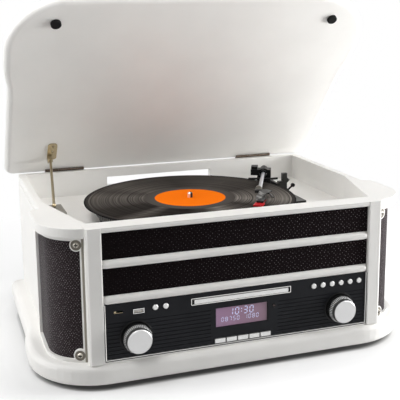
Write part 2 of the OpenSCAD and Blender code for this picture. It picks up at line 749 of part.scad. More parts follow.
// Socket panel on the back: line sockets, aerial socket, mains inlet and vents
inlet_x = 84;
module rear_connector_panel() color("dimgray") seat() translate([0, back_y, socket_z]) {
    t = 2.5;
    difference() {
        translate([-socket_w / 2 - 8, 0, -socket_h / 2 - 8])
            cube([socket_w + 16, t, socket_h + 16]);
        for (i = [0:9]) translate([-20 + i * 7, -1, -14]) cube([3, t + 2, 28]);
    }
    for (x = [-92, -74], z = [-10, 10]) translate([x, t, z]) rotate([-90, 0, 0])
        difference() {
            cylinder(h = 8, r = 4.2);
            translate([0, 0, 1]) cylinder(h = 8, r = 1.7);
        }
    translate([-48, t, 0]) rotate([-90, 0, 0]) difference() {
        cylinder(h = 6, r = 4.8);
        translate([0, 0, 1]) cylinder(h = 6, r = 3.4);
    }
    translate([inlet_x, t, 0]) difference() {
        translate([-13, 0, -8]) cube([26, 5, 16]);
        for (s = [-1, 1]) translate([s * 4.4, -0.5, 0]) rotate([-90, 0, 0])
            cylinder(h = 7, r = 4.2);
        translate([-4.4, 0.8, -4.2]) cube([8.8, 7, 8.4]);
    }
}

// Turntable chassis: a shallow black tray with the spindle boss and the arm's rest
chassis_r = platter_dia / 2 - 6;
chassis_right = arm_x + 25;
chassis_front = record_y - 15;
chassis_back = arm_y + 44;
boss_r = 9;
bearing_r = 4;
rest_x = arm_x + 4.4;
rest_y = arm_y - 54;
motor_turn = 150;
motor_at = [record_x, record_y] + motor_reach * [cos(motor_turn), sin(motor_turn)];
lever_z = chassis_z + 6;
prong_in = 3.4;
prong_w = 7.4;
arm_z = record_top + arm_up;

module chassis_plan(inset) {
    translate([record_x, record_y]) circle(chassis_r - inset);
    translate([0, chassis_front + inset])
        square([chassis_right - inset, chassis_back - chassis_front - 2 * inset]);
}
module turntable_chassis() color("black") seat() {
    skin = 3;
    difference() {
        translate([0, 0, deck_z]) linear_extrude(chassis_h) chassis_plan(0);
        translate([0, 0, deck_z - 1]) linear_extrude(chassis_h - skin + 1) difference() {
            chassis_plan(3);
            translate([record_x, record_y]) circle(boss_r);
        }
        translate([record_x, record_y, deck_z - 1])
            cylinder(h = chassis_h + 2, r = bearing_r + turn_gap);
        translate([motor_at[0], motor_at[1], deck_z]) cylinder(h = chassis_h + 2, r = 2);
        translate([arm_x, arm_y, deck_z]) cylinder(h = chassis_h + 2, r = 6);
    }
    translate([record_x, record_y, deck_z - 16]) difference() {
        cylinder(h = 16 + eps, r = boss_r);
        translate([0, 0, 2.9]) cylinder(h = 18, r = bearing_r + turn_gap);
    }
    difference() {
        translate([rest_x, rest_y, chassis_z - eps]) {
            bed = arm_z - arm_dia / 2 - 0.4 - chassis_z;
            translate([-3, -3, 0]) cube([6.6, 6, bed]);
            translate([prong_in, -3, 0]) cube([prong_w, 6, arm_z + 9 - chassis_z]);
            translate([prong_in + prong_w, 0, bed + 1]) rotate([0, 45, 0])
                translate([-3.2, -2.5, -3.2]) cube([6.4, 5, 6.4]);
            translate([prong_in + 1, -3, 0]) cube([prong_w, 6, lever_z + 3 - chassis_z]);
        }
        translate([rest_x + prong_in + 2, rest_y, lever_z]) rotate([0, 90, 0])
            cylinder(h = 12, r = 1.5 + turn_gap);
    }
}

// Motor under the chassis, its pulley and the belt
track_z = chassis_z + 3.5;
motor_r = 13;
module drive_motor() color("silver") seat() translate([motor_at[0], motor_at[1], 0])
    difference() {
        union() {
            translate([0, 0, deck_z - 19]) cylinder(h = chassis_h + 16, r = motor_r);
            translate([0, 0, deck_z - 22]) cylinder(h = 4, r = 4);
        }
        translate([0, 0, deck_z - 14]) cylinder(h = 40, r = 1 + turn_gap);
    }

module motor_pulley() color("gold") seat() translate([motor_at[0], motor_at[1], 0]) {
    r = pulley_dia / 2;
    translate([0, 0, track_z - 2]) rotate_extrude()
        polygon([[0, 0], [r + 1.5, 0], [r + 1.5, 1], [r, 1.8], [r, 6.6], [r + 1.5, 7.4],
                 [r + 1.5, 8.4], [0, 8.4]]);
    translate([0, 0, deck_z - 12]) cylinder(h = track_z - deck_z + 12, r = 1);
}

module belt_plan(gap) hull() {
    translate([record_x, record_y]) circle(track_dia / 2 + gap);
    translate(motor_at) circle(pulley_dia / 2 + gap);
}
module drive_belt() color("black") seat() translate([0, 0, track_z]) linear_extrude(4)
    difference() {
        belt_plan(1.3);
        belt_plan(0.3);
    }

// Platter turned with its belt track, hub, spindle and shaft
module platter() color("silver") seat() translate([record_x, record_y, 0]) rotate_extrude() {
    r = platter_dia / 2;
    low = platter_top - platter_h;
    skin = 2.5;
    tip = spindle_dia / 2;
    polygon([[0, deck_z - 13], [bearing_r, deck_z - 13], [bearing_r, low + 1], [10, low + 1],
             [10, platter_top - skin], [track_dia / 2 - 3, platter_top - skin],
             [track_dia / 2 - 3, low + 2], [track_dia / 2, low + 2],
             [track_dia / 2, platter_top - skin], [r - 3, platter_top - skin], [r - 3, low],
             [r - 1, low], [r, low + 1], [r, platter_top - 1], [r - 1, platter_top],
             [tip, platter_top], [tip, record_top + 6], [tip * 0.7, record_top + 7.4],
             [0, record_top + 8]]);
}

module vinyl_record() color("black") seat() translate([record_x, record_y, platter_top])
    rotate_extrude() {
        r = record_dia / 2;
        hole = spindle_dia / 2 + 0.1;
        label = label_dia / 2;
        polygon([[hole, 0], [r - 1, 0], [r, 0.6], [r, record_t - 0.6], [r - 1, record_t - 0.1],
                 [r - 4, record_t - 0.3], [label + 9, record_t - 0.3],
                 [label + 4, record_t - 0.2], [label, record_t - 0.2], [label - 0.4, record_t],
                 [hole, record_t]]);
    }

// Tonearm stand with the bar that lifts the arm, its post, and the link to the cue lever
pillar_r = 10;
pillar_top = record_top - 1;
lift_z = record_top + 1.4;
lift_t = 2.2;
lift_ahead = 27;
lift_left = 22;
post_x = 9;
link_low = chassis_z + 7;
link_h = 8;
module tonearm_base() color("black") seat() {
    on_arm() {
        difference() {
            union() {
                translate([0, 0, chassis_z]) cylinder(h = 3, r = 14);
                translate([0, 0, chassis_z]) cylinder(h = pillar_top - chassis_z, r = pillar_r);
                translate([post_x - 3, -lift_ahead, chassis_z]) cube([6, lift_ahead, 5]);
            }
            translate([0, 0, chassis_z - 1]) cylinder(h = 40, r = 3 + turn_gap);
        }
        translate([post_x, -lift_ahead, chassis_z]) cylinder(h = lift_z - chassis_z + eps, r = 3.4);
        translate([-lift_left, -lift_ahead - 2.5, lift_z]) cube([lift_left + post_x + 3, 5, lift_t]);
    }
    hull() {
        translate([arm_x + 6, arm_y - 9, link_low]) cylinder(h = link_h, r = 2, $fn = 32);
        translate([rest_x + 0.5, rest_y + 5.2, link_low]) cylinder(h = link_h, r = 2, $fn = 32);
    }
    translate([arm_x, arm_y - 10, pillar_top - 3]) cube([21, 3, 3]);
}

// Housing that turns on the stand: a box under a barrel top, with a raised block at its left
gimbal_left = 19.5;
gimbal_right = 12;
gimbal_deep = 9;
gimbal_z = pillar_top + 0.3;
gimbal_low = arm_z - 3;
barrel_r = 13;
barrel_z = arm_z - 5.2;
tunnel_r = 6.2;
pivot_half = 10.4;
module tonearm_gimbal() color("black") seat() on_arm() {
    difference() {
        union() {
            translate([0, 0, gimbal_z]) cylinder(h = 3.4, r = pillar_r - 1);
            translate([-gimbal_left, -gimbal_deep, gimbal_low])
                cube([gimbal_left + gimbal_right, 2 * gimbal_deep, 9]);
            translate([-9, -gimbal_deep, gimbal_z + 1])
                cube([9 + gimbal_right, 2 * gimbal_deep, 6]);
            translate([-gimbal_left + 0.6, -gimbal_deep + 1, gimbal_low])
                cube([10, 2 * gimbal_deep - 2, 13.6]);
            intersection() {
                translate([1.2, gimbal_deep, barrel_z]) rotate([90, 0, 0])
                    cylinder(h = 2 * gimbal_deep, r = barrel_r);
                translate([-9, -gimbal_deep - 1, arm_z])
                    cube([9 + gimbal_right, 2 * gimbal_deep + 2, 20]);
            }
        }
        translate([0, -20, arm_z]) rotate([-90, 0, 0]) cylinder(h = 40, r = tunnel_r);
        translate([-pivot_half - 0.4, 0, arm_z]) rotate([0, 90, 0])
            cylinder(h = 2 * pivot_half + 0.8, r = 1.5 + turn_gap);
    }
    translate([0, 0, chassis_z + 2]) cylinder(h = gimbal_z - chassis_z - 1, r = 3);
}

// Tonearm: tube, cross pin, collar, and the headshell set at an angle with its finger lift
shell_y = -arm_len + 66;
module tonearm() color("silver") seat() on_arm() translate([0, 0, arm_z]) {
    r = arm_dia / 2;
    translate([0, 16, 0]) rotate([90, 0, 0]) cylinder(h = 10 - shell_y, r = r);
    translate([0, gimbal_deep - 3, 0]) rotate([90, 0, 0])
        cylinder(h = 2 * gimbal_deep - 6, r = 4.2);
    translate([-pivot_half, 0, 0]) rotate([0, 90, 0]) cylinder(h = 2 * pivot_half, r = 1.5);
    translate([-1.6, shell_y + 10, 0.2]) rotate([90, 0, 0]) cylinder(h = 4, r = 4.8);
    translate([-6.6, shell_y - 6, -2.6]) cube([9.8, 13, 4]);
    translate([0, -arm_len, -0.6]) linear_extrude(1.6) {
        polygon([[0, 68], [11.2, 69], [17.9, 60.7], [10, 44.2], [5.4, 18.9], [0, 5],
                 [-2.2, 6.9], [-2.7, 30], [0, 58]]);
        polygon([[9, 50], [14.6, 46], [20.2, 24], [21.4, 25], [16.4, 48], [11, 54]]);
    }
}

// Cartridge under the front of the headshell, ending in the stylus
stylus_x = 2.3;
shell_turn = -10;
module cartridge() color("red") seat() on_arm() translate([0, -arm_len, arm_z - 0.6]) {
    drop = arm_up - 0.6;
    translate([stylus_x, 0, -drop]) rotate([0, 0, shell_turn]) {
        translate([-4.5, 5, 3]) cube([9, 20, drop - 3]);
        translate([-6.5, -7, 1.4]) cube([13, 15, 2.2]);
    }
    translate([stylus_x, 0, -drop + 0.4]) cylinder(h = 1.6, r1 = 0.3, r2 = 0.8);
}

module counterweight() color("black") seat() on_arm() translate([0, 27, arm_z])
    rotate([90, 0, 0]) difference() {
        cylinder(h = 15, r = 6);
        translate([0, 0, 11]) cylinder(h = 5, r = arm_dia / 2);
    }

module cue_lever() color("black") seat()
    translate([rest_x + prong_in + 2.2, rest_y, lever_z]) {
        reach = prong_w + 0.8;
        rotate([0, 90, 0]) cylinder(h = reach, r = 1.5);
        translate([reach, 0, 0]) {
            sphere(1.8);
            rotate([0, 50, 0]) {
                cylinder(h = 10, r = 1.4);
                translate([0, 1.5, 10.5]) rotate([90, 0, 0]) cylinder(h = 3, r = 3);
            }
        }
    }

// Lid with its edge rounded all round
module lid() color("white") seat() on_lid()
    rounded_board(lid_front, lid_back, lid_z, lid_z + lid_t, lid_round, lid_round);

bumper_x = side_half - 58;
bumper_y = lid_front + 39;
module lid_bumpers() color("black") seat() on_lid()
    for (s = [-1, 1]) translate([s * bumper_x, bumper_y, lid_z - lid_gap + 0.3])
        rotate_extrude()
            polygon([[0, 0], [6, 0], [7, 1], [7, lid_gap - 0.3], [0, lid_gap - 0.3]]);

// Butt hinges: outer knuckles and pins on the cabinet, middle knuckles on the lid
hinge_at = [72 - cabinet_half, cabinet_half - 79];
knuckle_gap = 0.3;
leaf_h = 18;
knuckle_r = knuckle_dia / 2;
module hinge_knuckle(x, w, bore)
    translate([x, pin_y, pin_z]) rotate([0, 90, 0]) difference() {
        cylinder(h = w, r = knuckle_r);
        if (bore) translate([0, 0, -1]) cylinder(h = w + 2, r = hinge_pin_dia / 2 + turn_gap);
    }
module hinge_bore(x)
    translate([x - hinge_len / 2, pin_y, pin_z]) rotate([0, 90, 0])
        cylinder(h = hinge_len, r = hinge_pin_dia / 2 + turn_gap);
module hinge_base_leaves() color("silver") seat()
    for (x = hinge_at) {
        third = hinge_len / 3;
        for (side = [-hinge_len / 2, hinge_len / 2 - third + knuckle_gap])
            translate([x + side, 0, 0]) {
                hinge_knuckle(0, third - knuckle_gap, false);
                translate([0, back_y, top_z - 4]) cube([third - knuckle_gap, leaf_t, pin_z - top_z + 4]);
            }
        translate([x - hinge_len / 2, back_y, top_z - leaf_h]) cube([hinge_len, leaf_t, leaf_h - 2]);
        translate([x - hinge_len / 2, pin_y, pin_z]) rotate([0, 90, 0])
            cylinder(h = hinge_len, r = hinge_pin_dia / 2);
    }
module hinge_lid_leaves() color("silver") seat() on_lid()
    for (x = hinge_at) {
        third = hinge_len / 3;
        hinge_knuckle(x - third / 2 + knuckle_gap, third - 2 * knuckle_gap, true);
        difference() {
            translate([x - third / 2 + knuckle_gap, pin_y, lid_z - leaf_t])
                cube([third - 2 * knuckle_gap, 8.5, leaf_t]);
            hinge_bore(x);
        }
        translate([x - hinge_len / 2, pin_y + 4.5, lid_z - leaf_t]) cube([hinge_len, 4, leaf_t]);
    }

// Lid stay: bracket under the lid, rod, and slotted plate in the well
stay_x = 37.2 - well_half;
stay_drop = 5;
stay_pin_r = 1.5;
stay_foot = [15 - well_half, kink_y - 3, top_z - 5];
stay_top = [stay_x,
            pin_y - stay_reach * cos(lid_open) - stay_drop * sin(lid_open),
            pin_z + stay_reach * sin(lid_open) - stay_drop * cos(lid_open)];
module stay_upper_bracket() color("silver") seat() on_lid() {
    y = pin_y - stay_reach;
    z = pin_z - stay_drop;
    difference() {
        translate([stay_x - 4.5, y - 32, lid_z - 1.6]) linear_extrude(1.6) plate_plan(14.2, 36.6, 5);
        for (up = [14, 26]) translate([stay_x + 3, y - up, lid_z - 3]) cylinder(h = 4, r = 1.6);
    }
    translate([stay_x - 4.5, y - 4, z]) cube([1.4, 8, lid_z - z - 1]);
    translate([stay_x - 4.5, y, z]) rotate([0, 90, 0]) cylinder(h = 1.4, r = 4);
    translate([stay_x - 4, y, z]) rotate([0, 90, 0]) cylinder(h = 7.2, r = stay_pin_r);
    translate([stay_x + 2.4, y, z]) rotate([0, 90, 0]) cylinder(h = 0.9, r = 2.4);
}

// Plate with round corners, from one corner
module plate_plan(w, d, r) {
    translate([r, 0]) square([w - 2 * r, d]);
    translate([0, r]) square([w, d - 2 * r]);
    for (x = [r, w - r], y = [r, d - r]) translate([x, y]) circle(r);
}

module rod_between(a, b, r) {
    d = b - a;
    len = norm(d);
    translate(a) rotate([0, acos(d[2] / len), atan2(d[1], d[0])]) cylinder(h = len, r = r);
}
module stay_rod() color("goldenrod") seat() difference() {
    union() {
        translate([stay_top[0] - 2.1, stay_top[1], stay_top[2]]) rotate([0, 90, 0])
            cylinder(h = 4.2, r = 3.4);
        rod_between(stay_top, stay_foot, stay_dia / 2);
        translate(stay_foot) sphere(stay_dia / 2 + 0.8);
    }
    translate([stay_top[0] - 5, stay_top[1], stay_top[2]]) rotate([0, 90, 0])
        cylinder(h = 10, r = stay_pin_r + turn_gap);
}

shelf_z = stay_foot[2] - stay_dia / 2 - 2;
shelf_t = 2;
shelf_front = kink_y - 33;
shelf_back = kink_y + 16;
shelf_in = 27;
stay_slot = 28;
module stay_lower_bracket() color("silver") seat() {
    front_x = well_front_half + (shelf_front - rail_d) * slope;
    translate([0, 0, shelf_z - shelf_t]) linear_extrude(shelf_t) difference() {
        polygon([[-well_half, shelf_back], [-well_half, kink_y], [-front_x, shelf_front],
                 [shelf_in - well_half, shelf_front], [shelf_in - well_half, shelf_back]]);
        translate([stay_foot[0] - 2.6, stay_foot[1] + 6 - stay_slot]) square([5.2, stay_slot]);
    }
    translate([0, 0, shelf_z - 16]) linear_extrude(16)
        polygon([[-well_half, kink_y], [-front_x, shelf_front],
                 [-front_x + 2, shelf_front], [-well_half + 2, kink_y]]);
}

plinth();
feet();
side_wall_left();
side_wall_right();
back_wall();
rim_board();
deck_board();
front_frame();
cross_bars();
front_cloth_strips();
grille_frame_left();
grille_frame_right();
grille_cloth_left();
grille_cloth_right();
grille_screws();
speaker_left();
speaker_right();
control_panel();
panel_trim();
display_board();
usb_socket();
cd_mechanism();
amplifier_board();
transformer();
rear_connector_panel();
turntable_chassis();
drive_motor();
drive_belt();
tonearm_base();
hinge_base_leaves();
stay_lower_bracket();
platter();
vinyl_record();
motor_pulley();
tonearm_gimbal();
tonearm();
cartridge();
counterweight();
cue_lever();
cd_tray();
volume_knob();
tuning_knob();
standby_button();
source_button();
transport_button_1();
transport_button_2();
transport_button_3();
transport_button_4();
transport_button_5();
transport_button_6();
menu_key_1();
menu_key_2();
menu_key_3();
menu_key_4();
menu_key_5();
lid();
lid_bumpers();
hinge_lid_leaves();
stay_upper_bracket();
stay_rod();
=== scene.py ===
import math

import bmesh
import bpy
from mathutils import Matrix, Vector


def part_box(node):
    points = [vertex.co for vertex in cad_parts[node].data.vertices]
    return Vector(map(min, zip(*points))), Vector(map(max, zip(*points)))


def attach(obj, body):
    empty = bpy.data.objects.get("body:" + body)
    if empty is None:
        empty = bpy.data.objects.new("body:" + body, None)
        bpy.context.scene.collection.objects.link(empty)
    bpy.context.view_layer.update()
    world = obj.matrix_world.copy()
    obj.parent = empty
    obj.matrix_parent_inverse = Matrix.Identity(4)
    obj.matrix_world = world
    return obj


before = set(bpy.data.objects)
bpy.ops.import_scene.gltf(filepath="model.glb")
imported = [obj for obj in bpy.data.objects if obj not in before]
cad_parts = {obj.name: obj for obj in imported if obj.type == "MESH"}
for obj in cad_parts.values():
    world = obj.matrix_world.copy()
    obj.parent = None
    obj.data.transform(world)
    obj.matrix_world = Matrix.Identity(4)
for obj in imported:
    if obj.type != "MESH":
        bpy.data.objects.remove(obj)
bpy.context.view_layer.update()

MM = 0.001
FRONT = -0.1754499      # the pilaster fronts, from the frame's origin
PLINTH = 0.032          # the plinth's top


def at(x, y, z):
    """Point from millimetres: across, behind the pilaster fronts, over the plinth."""
    return Vector((x * MM, FRONT + y * MM, PLINTH + z * MM))


# ---------------------------------------------------------------- camera
FOCAL_PX = 804.1
YAW, PITCH, ROLL = 0.3262, 0.1930, -0.0098
EYE = at(-359.9, -898.8, 429.5)


def make_camera():
    forward = Vector((math.sin(YAW) * math.cos(PITCH), math.cos(YAW) * math.cos(PITCH),
                      -math.sin(PITCH)))
    right = Vector((math.cos(YAW), -math.sin(YAW), 0.0))
    up = right.cross(forward)
    across = right * math.cos(ROLL) + up * math.sin(ROLL)
    upward = up * math.cos(ROLL) - right * math.sin(ROLL)
    data = bpy.data.cameras.new("camera")
    data.sensor_width = 36.0
    data.lens = 36.0 * FOCAL_PX / 400.0
    data.shift_y = -0.1
    data.clip_end = 50.0
    camera = bpy.data.objects.new("camera", data)
    bpy.context.scene.collection.objects.link(camera)
    turn = Matrix((across, upward, -forward)).transposed().to_4x4()
    camera.matrix_world = Matrix.Translation(EYE) @ turn
    bpy.context.scene.camera = camera


make_camera()
bpy.context.scene.view_settings.view_transform = "Standard"


# ---------------------------------------------------------------- materials
class Nodes:
    """A node tree with short calls for the few kinds of node used here."""

    def __init__(self, name):
        self.material = bpy.data.materials.new(name)
        self.material.use_nodes = True
        self.tree = self.material.node_tree
        self.shader = self.tree.nodes["Principled BSDF"]
        self.output = self.tree.nodes["Material Output"]
        self.coords = self.tree.nodes.new("ShaderNodeTexCoord").outputs["Object"]

    def add(self, kind, **values):
        node = self.tree.nodes.new(kind)
        for key, value in values.items():
            if hasattr(node, key):
                setattr(node, key, value)
            else:
                node.inputs[key.replace("_", " ")].default_value = value
        return node

    def link(self, source, target):
        self.tree.links.new(source, target)

    def scaled(self, x, y, z, shift=(0.0, 0.0, 0.0)):
        node = self.add("ShaderNodeMapping")
        node.inputs["Scale"].default_value = (x, y, z)
        node.inputs["Location"].default_value = shift
        self.link(self.coords, node.inputs["Vector"])
        return node.outputs["Vector"]

    def noise(self, scale, detail=3.0, vector=None, roughness=0.5):
        node = self.add("ShaderNodeTexNoise")
        node.inputs["Scale"].default_value = scale
        node.inputs["Detail"].default_value = detail
        node.inputs["Roughness"].default_value = roughness
        self.link(vector or self.coords, node.inputs["Vector"])
        return node.outputs["Fac"]

    def math(self, operation, a, b=0.0, c=0.0, clamp=False):
        node = self.add("ShaderNodeMath")
        node.operation = operation
        node.use_clamp = clamp
        for socket, value in zip(node.inputs, (a, b, c)):
            if isinstance(value, (int, float)):
                socket.default_value = value
            else:
                self.link(value, socket)
        return node.outputs[0]

    def ramp(self, fac, *stops, mode="LINEAR"):
        node = self.add("ShaderNodeValToRGB")
        node.color_ramp.interpolation = mode
        elements = node.color_ramp.elements
        elements[1].position = stops[-1][0]
        elements[0].position = stops[0][0]
        for place, colour in stops[1:-1]:
            elements.new(place)
        for element, (place, colour) in zip(elements, stops):
            element.color = (*colour, 1.0)
        self.link(fac, node.inputs["Fac"])
        return node.outputs["Color"]

    def mix(self, fac, a, b):
        node = self.add("ShaderNodeMix")
        node.data_type = "RGBA"
        for socket, value in ((node.inputs[0], fac), (node.inputs[6], a), (node.inputs[7], b)):
            if isinstance(value, tuple):
                socket.default_value = (*value, 1.0)
            elif isinstance(value, (int, float)):
                socket.default_value = value
            else:
                self.link(value, socket)
        return node.outputs[2]

    def reach(self, x, y):
        """Distance from an upright axis."""
        squares = [self.math("MULTIPLY", axis, axis) for axis in (x, y)]
        return self.math("SQRT", self.math("ADD", *squares))

    def rings(self, radius, scale, detail):
        """Noise that changes with the distance from an axis only."""
        place = self.add("ShaderNodeCombineXYZ")
        self.link(self.math("MULTIPLY", radius, scale), place.inputs[0])
        return self.noise(1.0, detail, place.outputs[0])

    def split(self, vector=None):
        node = self.add("ShaderNodeSeparateXYZ")
        self.link(vector or self.coords, node.inputs[0])
        return node.outputs

    def bump(self, height, distance, strength=1.0):
        node = self.add("ShaderNodeBump")
        node.inputs["Distance"].default_value = distance
        node.inputs["Strength"].default_value = strength
        self.link(height, node.inputs["Height"])
        self.link(node.outputs["Normal"], self.shader.inputs["Normal"])

    def set(self, **values):
        for key, value in values.items():
            socket = self.shader.inputs[key.replace("_", " ")]
            if isinstance(value, tuple):
                socket.default_value = (*value, 1.0)
            elif isinstance(value, (int, float)):
                socket.default_value = value
            else:
                self.link(value, socket)
        return self.material


def grey(v):
    return (v, v, v)


def painted(n, colour):
    """Tone and roughness of satin paint: faint mottle, orange peel and slightly uneven gloss."""
    dark = tuple(c * 0.965 for c in colour)
    tone = n.ramp(n.noise(14.0, 4.0), (0.35, dark), (0.65, colour))
    n.bump(n.noise(900.0, 2.0), 0.00006, 0.5)
    return tone, n.math("MULTIPLY_ADD", n.noise(60.0, 3.0), 0.12, 0.34)


def lacquer(name, colour):
    """Satin paint on board."""
    n = Nodes(name)
    tone, rough = painted(n, colour)
    return n.set(Base_Color=tone, Roughness=rough, Specular_IOR_Level=PAINT_SPECULAR)


def grille_white(name, centres):
    """The lacquer, with bare plates round the screws and a strip of painted shade by the left
    pilaster.
    """
    n = Nodes(name)
    x, y, z = n.split()
    tone, rough = painted(n, WHITE)
    plate = 0.0
    for centre in centres:
        reach = n.add("ShaderNodeVectorMath", operation="DISTANCE")
        reach.inputs[1].default_value = centre
        n.link(n.coords, reach.inputs[0])
        plate = n.math("ADD", n.math("LESS_THAN", reach.outputs["Value"], TAB_R), plate)
    # Painted shade: the frame is painted beige-grey next to the left pilaster, where shade falls.
    strip = n.math("MULTIPLY", n.math("GREATER_THAN", x, -STRIP_X), n.math("LESS_THAN", x, 0.0))
    tone = n.mix(strip, tone, (0.30, 0.28, 0.235))
    tone = n.mix(plate, tone, (0.17, 0.155, 0.125))
    return n.set(Base_Color=tone, Roughness=rough, Specular_IOR_Level=PAINT_SPECULAR)


def screw_centres():
    """Middle of each corner screw, from the vertices round it."""
    points = [v.co.copy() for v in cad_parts["grille_screws"].data.vertices]
    groups = {}
    middle = sum(p.z for p in points) / len(points)
    for p in points:
        groups.setdefault((p.x > 0, p.z > middle), []).append(p)
    return [sum(g, Vector()) / len(g) for g in groups.values()]


def screw_zinc_and_recess_shade(centres):
    """Zinc heads, with the crosswise recess painted near-black as its shade."""
    n = Nodes("screw_zinc_and_recess_shade")
    cross = 0.0
    for centre in centres:
        x, y, z = n.split(n.scaled(1.0, 1.0, 1.0, tuple(-c for c in centre)))
        side = n.reach(x, y)
        up = n.math("ABSOLUTE", z)
        bar = n.math("MULTIPLY", n.math("LESS_THAN", n.math("MINIMUM", side, up), RECESS_HALF),
                     n.math("LESS_THAN", n.math("MAXIMUM", side, up), RECESS_REACH))
        cross = n.math("ADD", bar, cross)
    grain = n.noise(700.0, 3.0)
    # Painted shade: the recess is painted near-black.
    tone = n.mix(cross, n.ramp(grain, (0.3, (0.40, 0.37, 0.32)), (0.7, (0.60, 0.57, 0.51))),
                 (0.008, 0.007, 0.006))
    n.bump(grain, 0.00003, 0.6)
    rough = n.math("MULTIPLY_ADD", grain, 0.2, 0.25)
    return n.set(Base_Color=tone, Roughness=rough, Metallic=0.8)


def moulded(name, colour, rough=0.45, grain=0.00003, lift=1.25, specular=0.5):
    """Moulded plastic or rubber with a fine spark-eroded grain."""
    n = Nodes(name)
    light = tuple(min(1.0, c * lift) for c in colour)
    tone = n.ramp(n.noise(45.0, 4.0), (0.3, colour), (0.75, light))
    n.bump(n.noise(2600.0, 2.0), grain, 0.6)
    value = n.math("MULTIPLY_ADD", n.noise(130.0, 3.0), 0.16, rough - 0.08)
    return n.set(Base_Color=tone, Roughness=value, Specular_IOR_Level=specular)


def metal(name, colour, rough=0.3, along=(1.0, 1.0, 1.0), metallic=1.0, streak=0.08):
    """Metal with drawn or brushed streaks; along is small in the streaks' direction."""
    n = Nodes(name)
    lines = n.noise(900.0, 3.0, n.scaled(*along))
    dark = tuple(c * 0.86 for c in colour)
    tone = n.ramp(lines, (0.3, dark), (0.7, colour))
    n.bump(lines, 0.00002, 0.6)
    value = n.math("MULTIPLY_ADD", lines, streak * 2, rough - streak)
    return n.set(Base_Color=tone, Roughness=value, Metallic=metallic)


def zinc(name, colour, rough=0.4):
    """Plated steel with the mottled bloom of zinc."""
    n = Nodes(name)
    cells = n.add("ShaderNodeTexVoronoi")
    cells.inputs["Scale"].default_value = 420.0
    n.link(n.coords, cells.inputs["Vector"])
    dark = tuple(c * 0.8 for c in colour)
    tone = n.ramp(cells.outputs["Distance"], (0.1, dark), (0.8, colour))
    n.bump(n.noise(700.0, 3.0), 0.00003, 0.6)
    value = n.math("MULTIPLY_ADD", n.noise(220.0, 4.0), 0.2, rough - 0.1)
    return n.set(Base_Color=tone, Roughness=value, Metallic=0.9)


def cloth(name, dark, light, fleck, pitch, size, sheen, painted_light_slope=0.0):
    """Speaker cloth: crossed threads in two dark tones, with pale flecks set cornerwise.
    Painted light: the threads and flecks are made lighter towards the right, as if lit from that
    side."""
    n = Nodes(name)
    x, y, z = n.split()
    run = n.math("ADD", n.math("ABSOLUTE", x), y)
    place = n.add("ShaderNodeCombineXYZ")
    turned_scale = math.sqrt(0.5) / pitch
    n.link(n.math("MULTIPLY", n.math("ADD", run, z), turned_scale), place.inputs[0])
    n.link(n.math("MULTIPLY", n.math("SUBTRACT", run, z), turned_scale), place.inputs[1])
    cells = n.add("ShaderNodeTexVoronoi", voronoi_dimensions="2D")
    cells.inputs["Scale"].default_value = 1.0
    cells.inputs["Randomness"].default_value = 0.45
    n.link(place.outputs[0], cells.inputs["Vector"])
    spot = n.math("SUBTRACT", 1.0, n.math("DIVIDE", cells.outputs["Distance"], size), clamp=True)
    share = n.add("ShaderNodeSeparateColor")
    n.link(cells.outputs["Color"], share.inputs[0])
    strength = n.math("MULTIPLY_ADD", share.outputs[0], 0.8, 0.1)
    # Painted light: the flecks brighten towards the right.
    strength = n.math("MULTIPLY", strength,
                      n.math("MULTIPLY_ADD", x, painted_light_slope, 0.62 if painted_light_slope else 1.0, clamp=True))
    spot = n.math("MULTIPLY", n.math("MULTIPLY", spot, 2.0, clamp=True), strength)
    weave = math.pi / 0.0006
    warp = n.math("SINE", n.math("MULTIPLY", run, weave))
    weft = n.math("SINE", n.math("MULTIPLY", z, weave))
    threads = n.math("MULTIPLY_ADD", n.math("MULTIPLY", warp, weft), 0.5, 0.5)
    tone = n.ramp(n.noise(900.0, 2.0, None, 0.7), (0.36, dark), (0.66, light))
    shade = n.mix(n.math("MULTIPLY", threads, 0.3), tone, tuple(c * 0.5 for c in dark))
    # Painted light: the threads are mixed towards a lighter tone towards the right.
    if painted_light_slope:
        lit = n.math("MULTIPLY_ADD", x, painted_light_slope, 0.5, clamp=True)
        shade = n.mix(n.math("MULTIPLY", lit, 0.5), shade, tuple(c * 1.6 for c in light))
    flecked = n.mix(spot, shade, fleck)
    height = n.math("ADD", threads, n.math("MULTIPLY", spot, 1.5))
    n.bump(height, 0.00015, 0.7)
    return n.set(Base_Color=flecked, Roughness=0.9, Sheen_Weight=sheen,
                 Specular_IOR_Level=0.05)


RECORD = (-0.0155, FRONT + 0.165)
RECORD_R = 0.1507
RUN_OUT_R = 0.0645
LABEL_R = 0.0508
PLATTER_RIM = 0.130       # the platter's ribs lie further out than this
SPINDLE_R = 0.006


def about_spindle(n):
    """Radius and angle about the record's spindle."""
    x, y, z = n.split(n.scaled(1.0, 1.0, 1.0, (-RECORD[0], -RECORD[1], 0.0)))
    return n.reach(x, y), n.math("ARCTAN2", y, x)


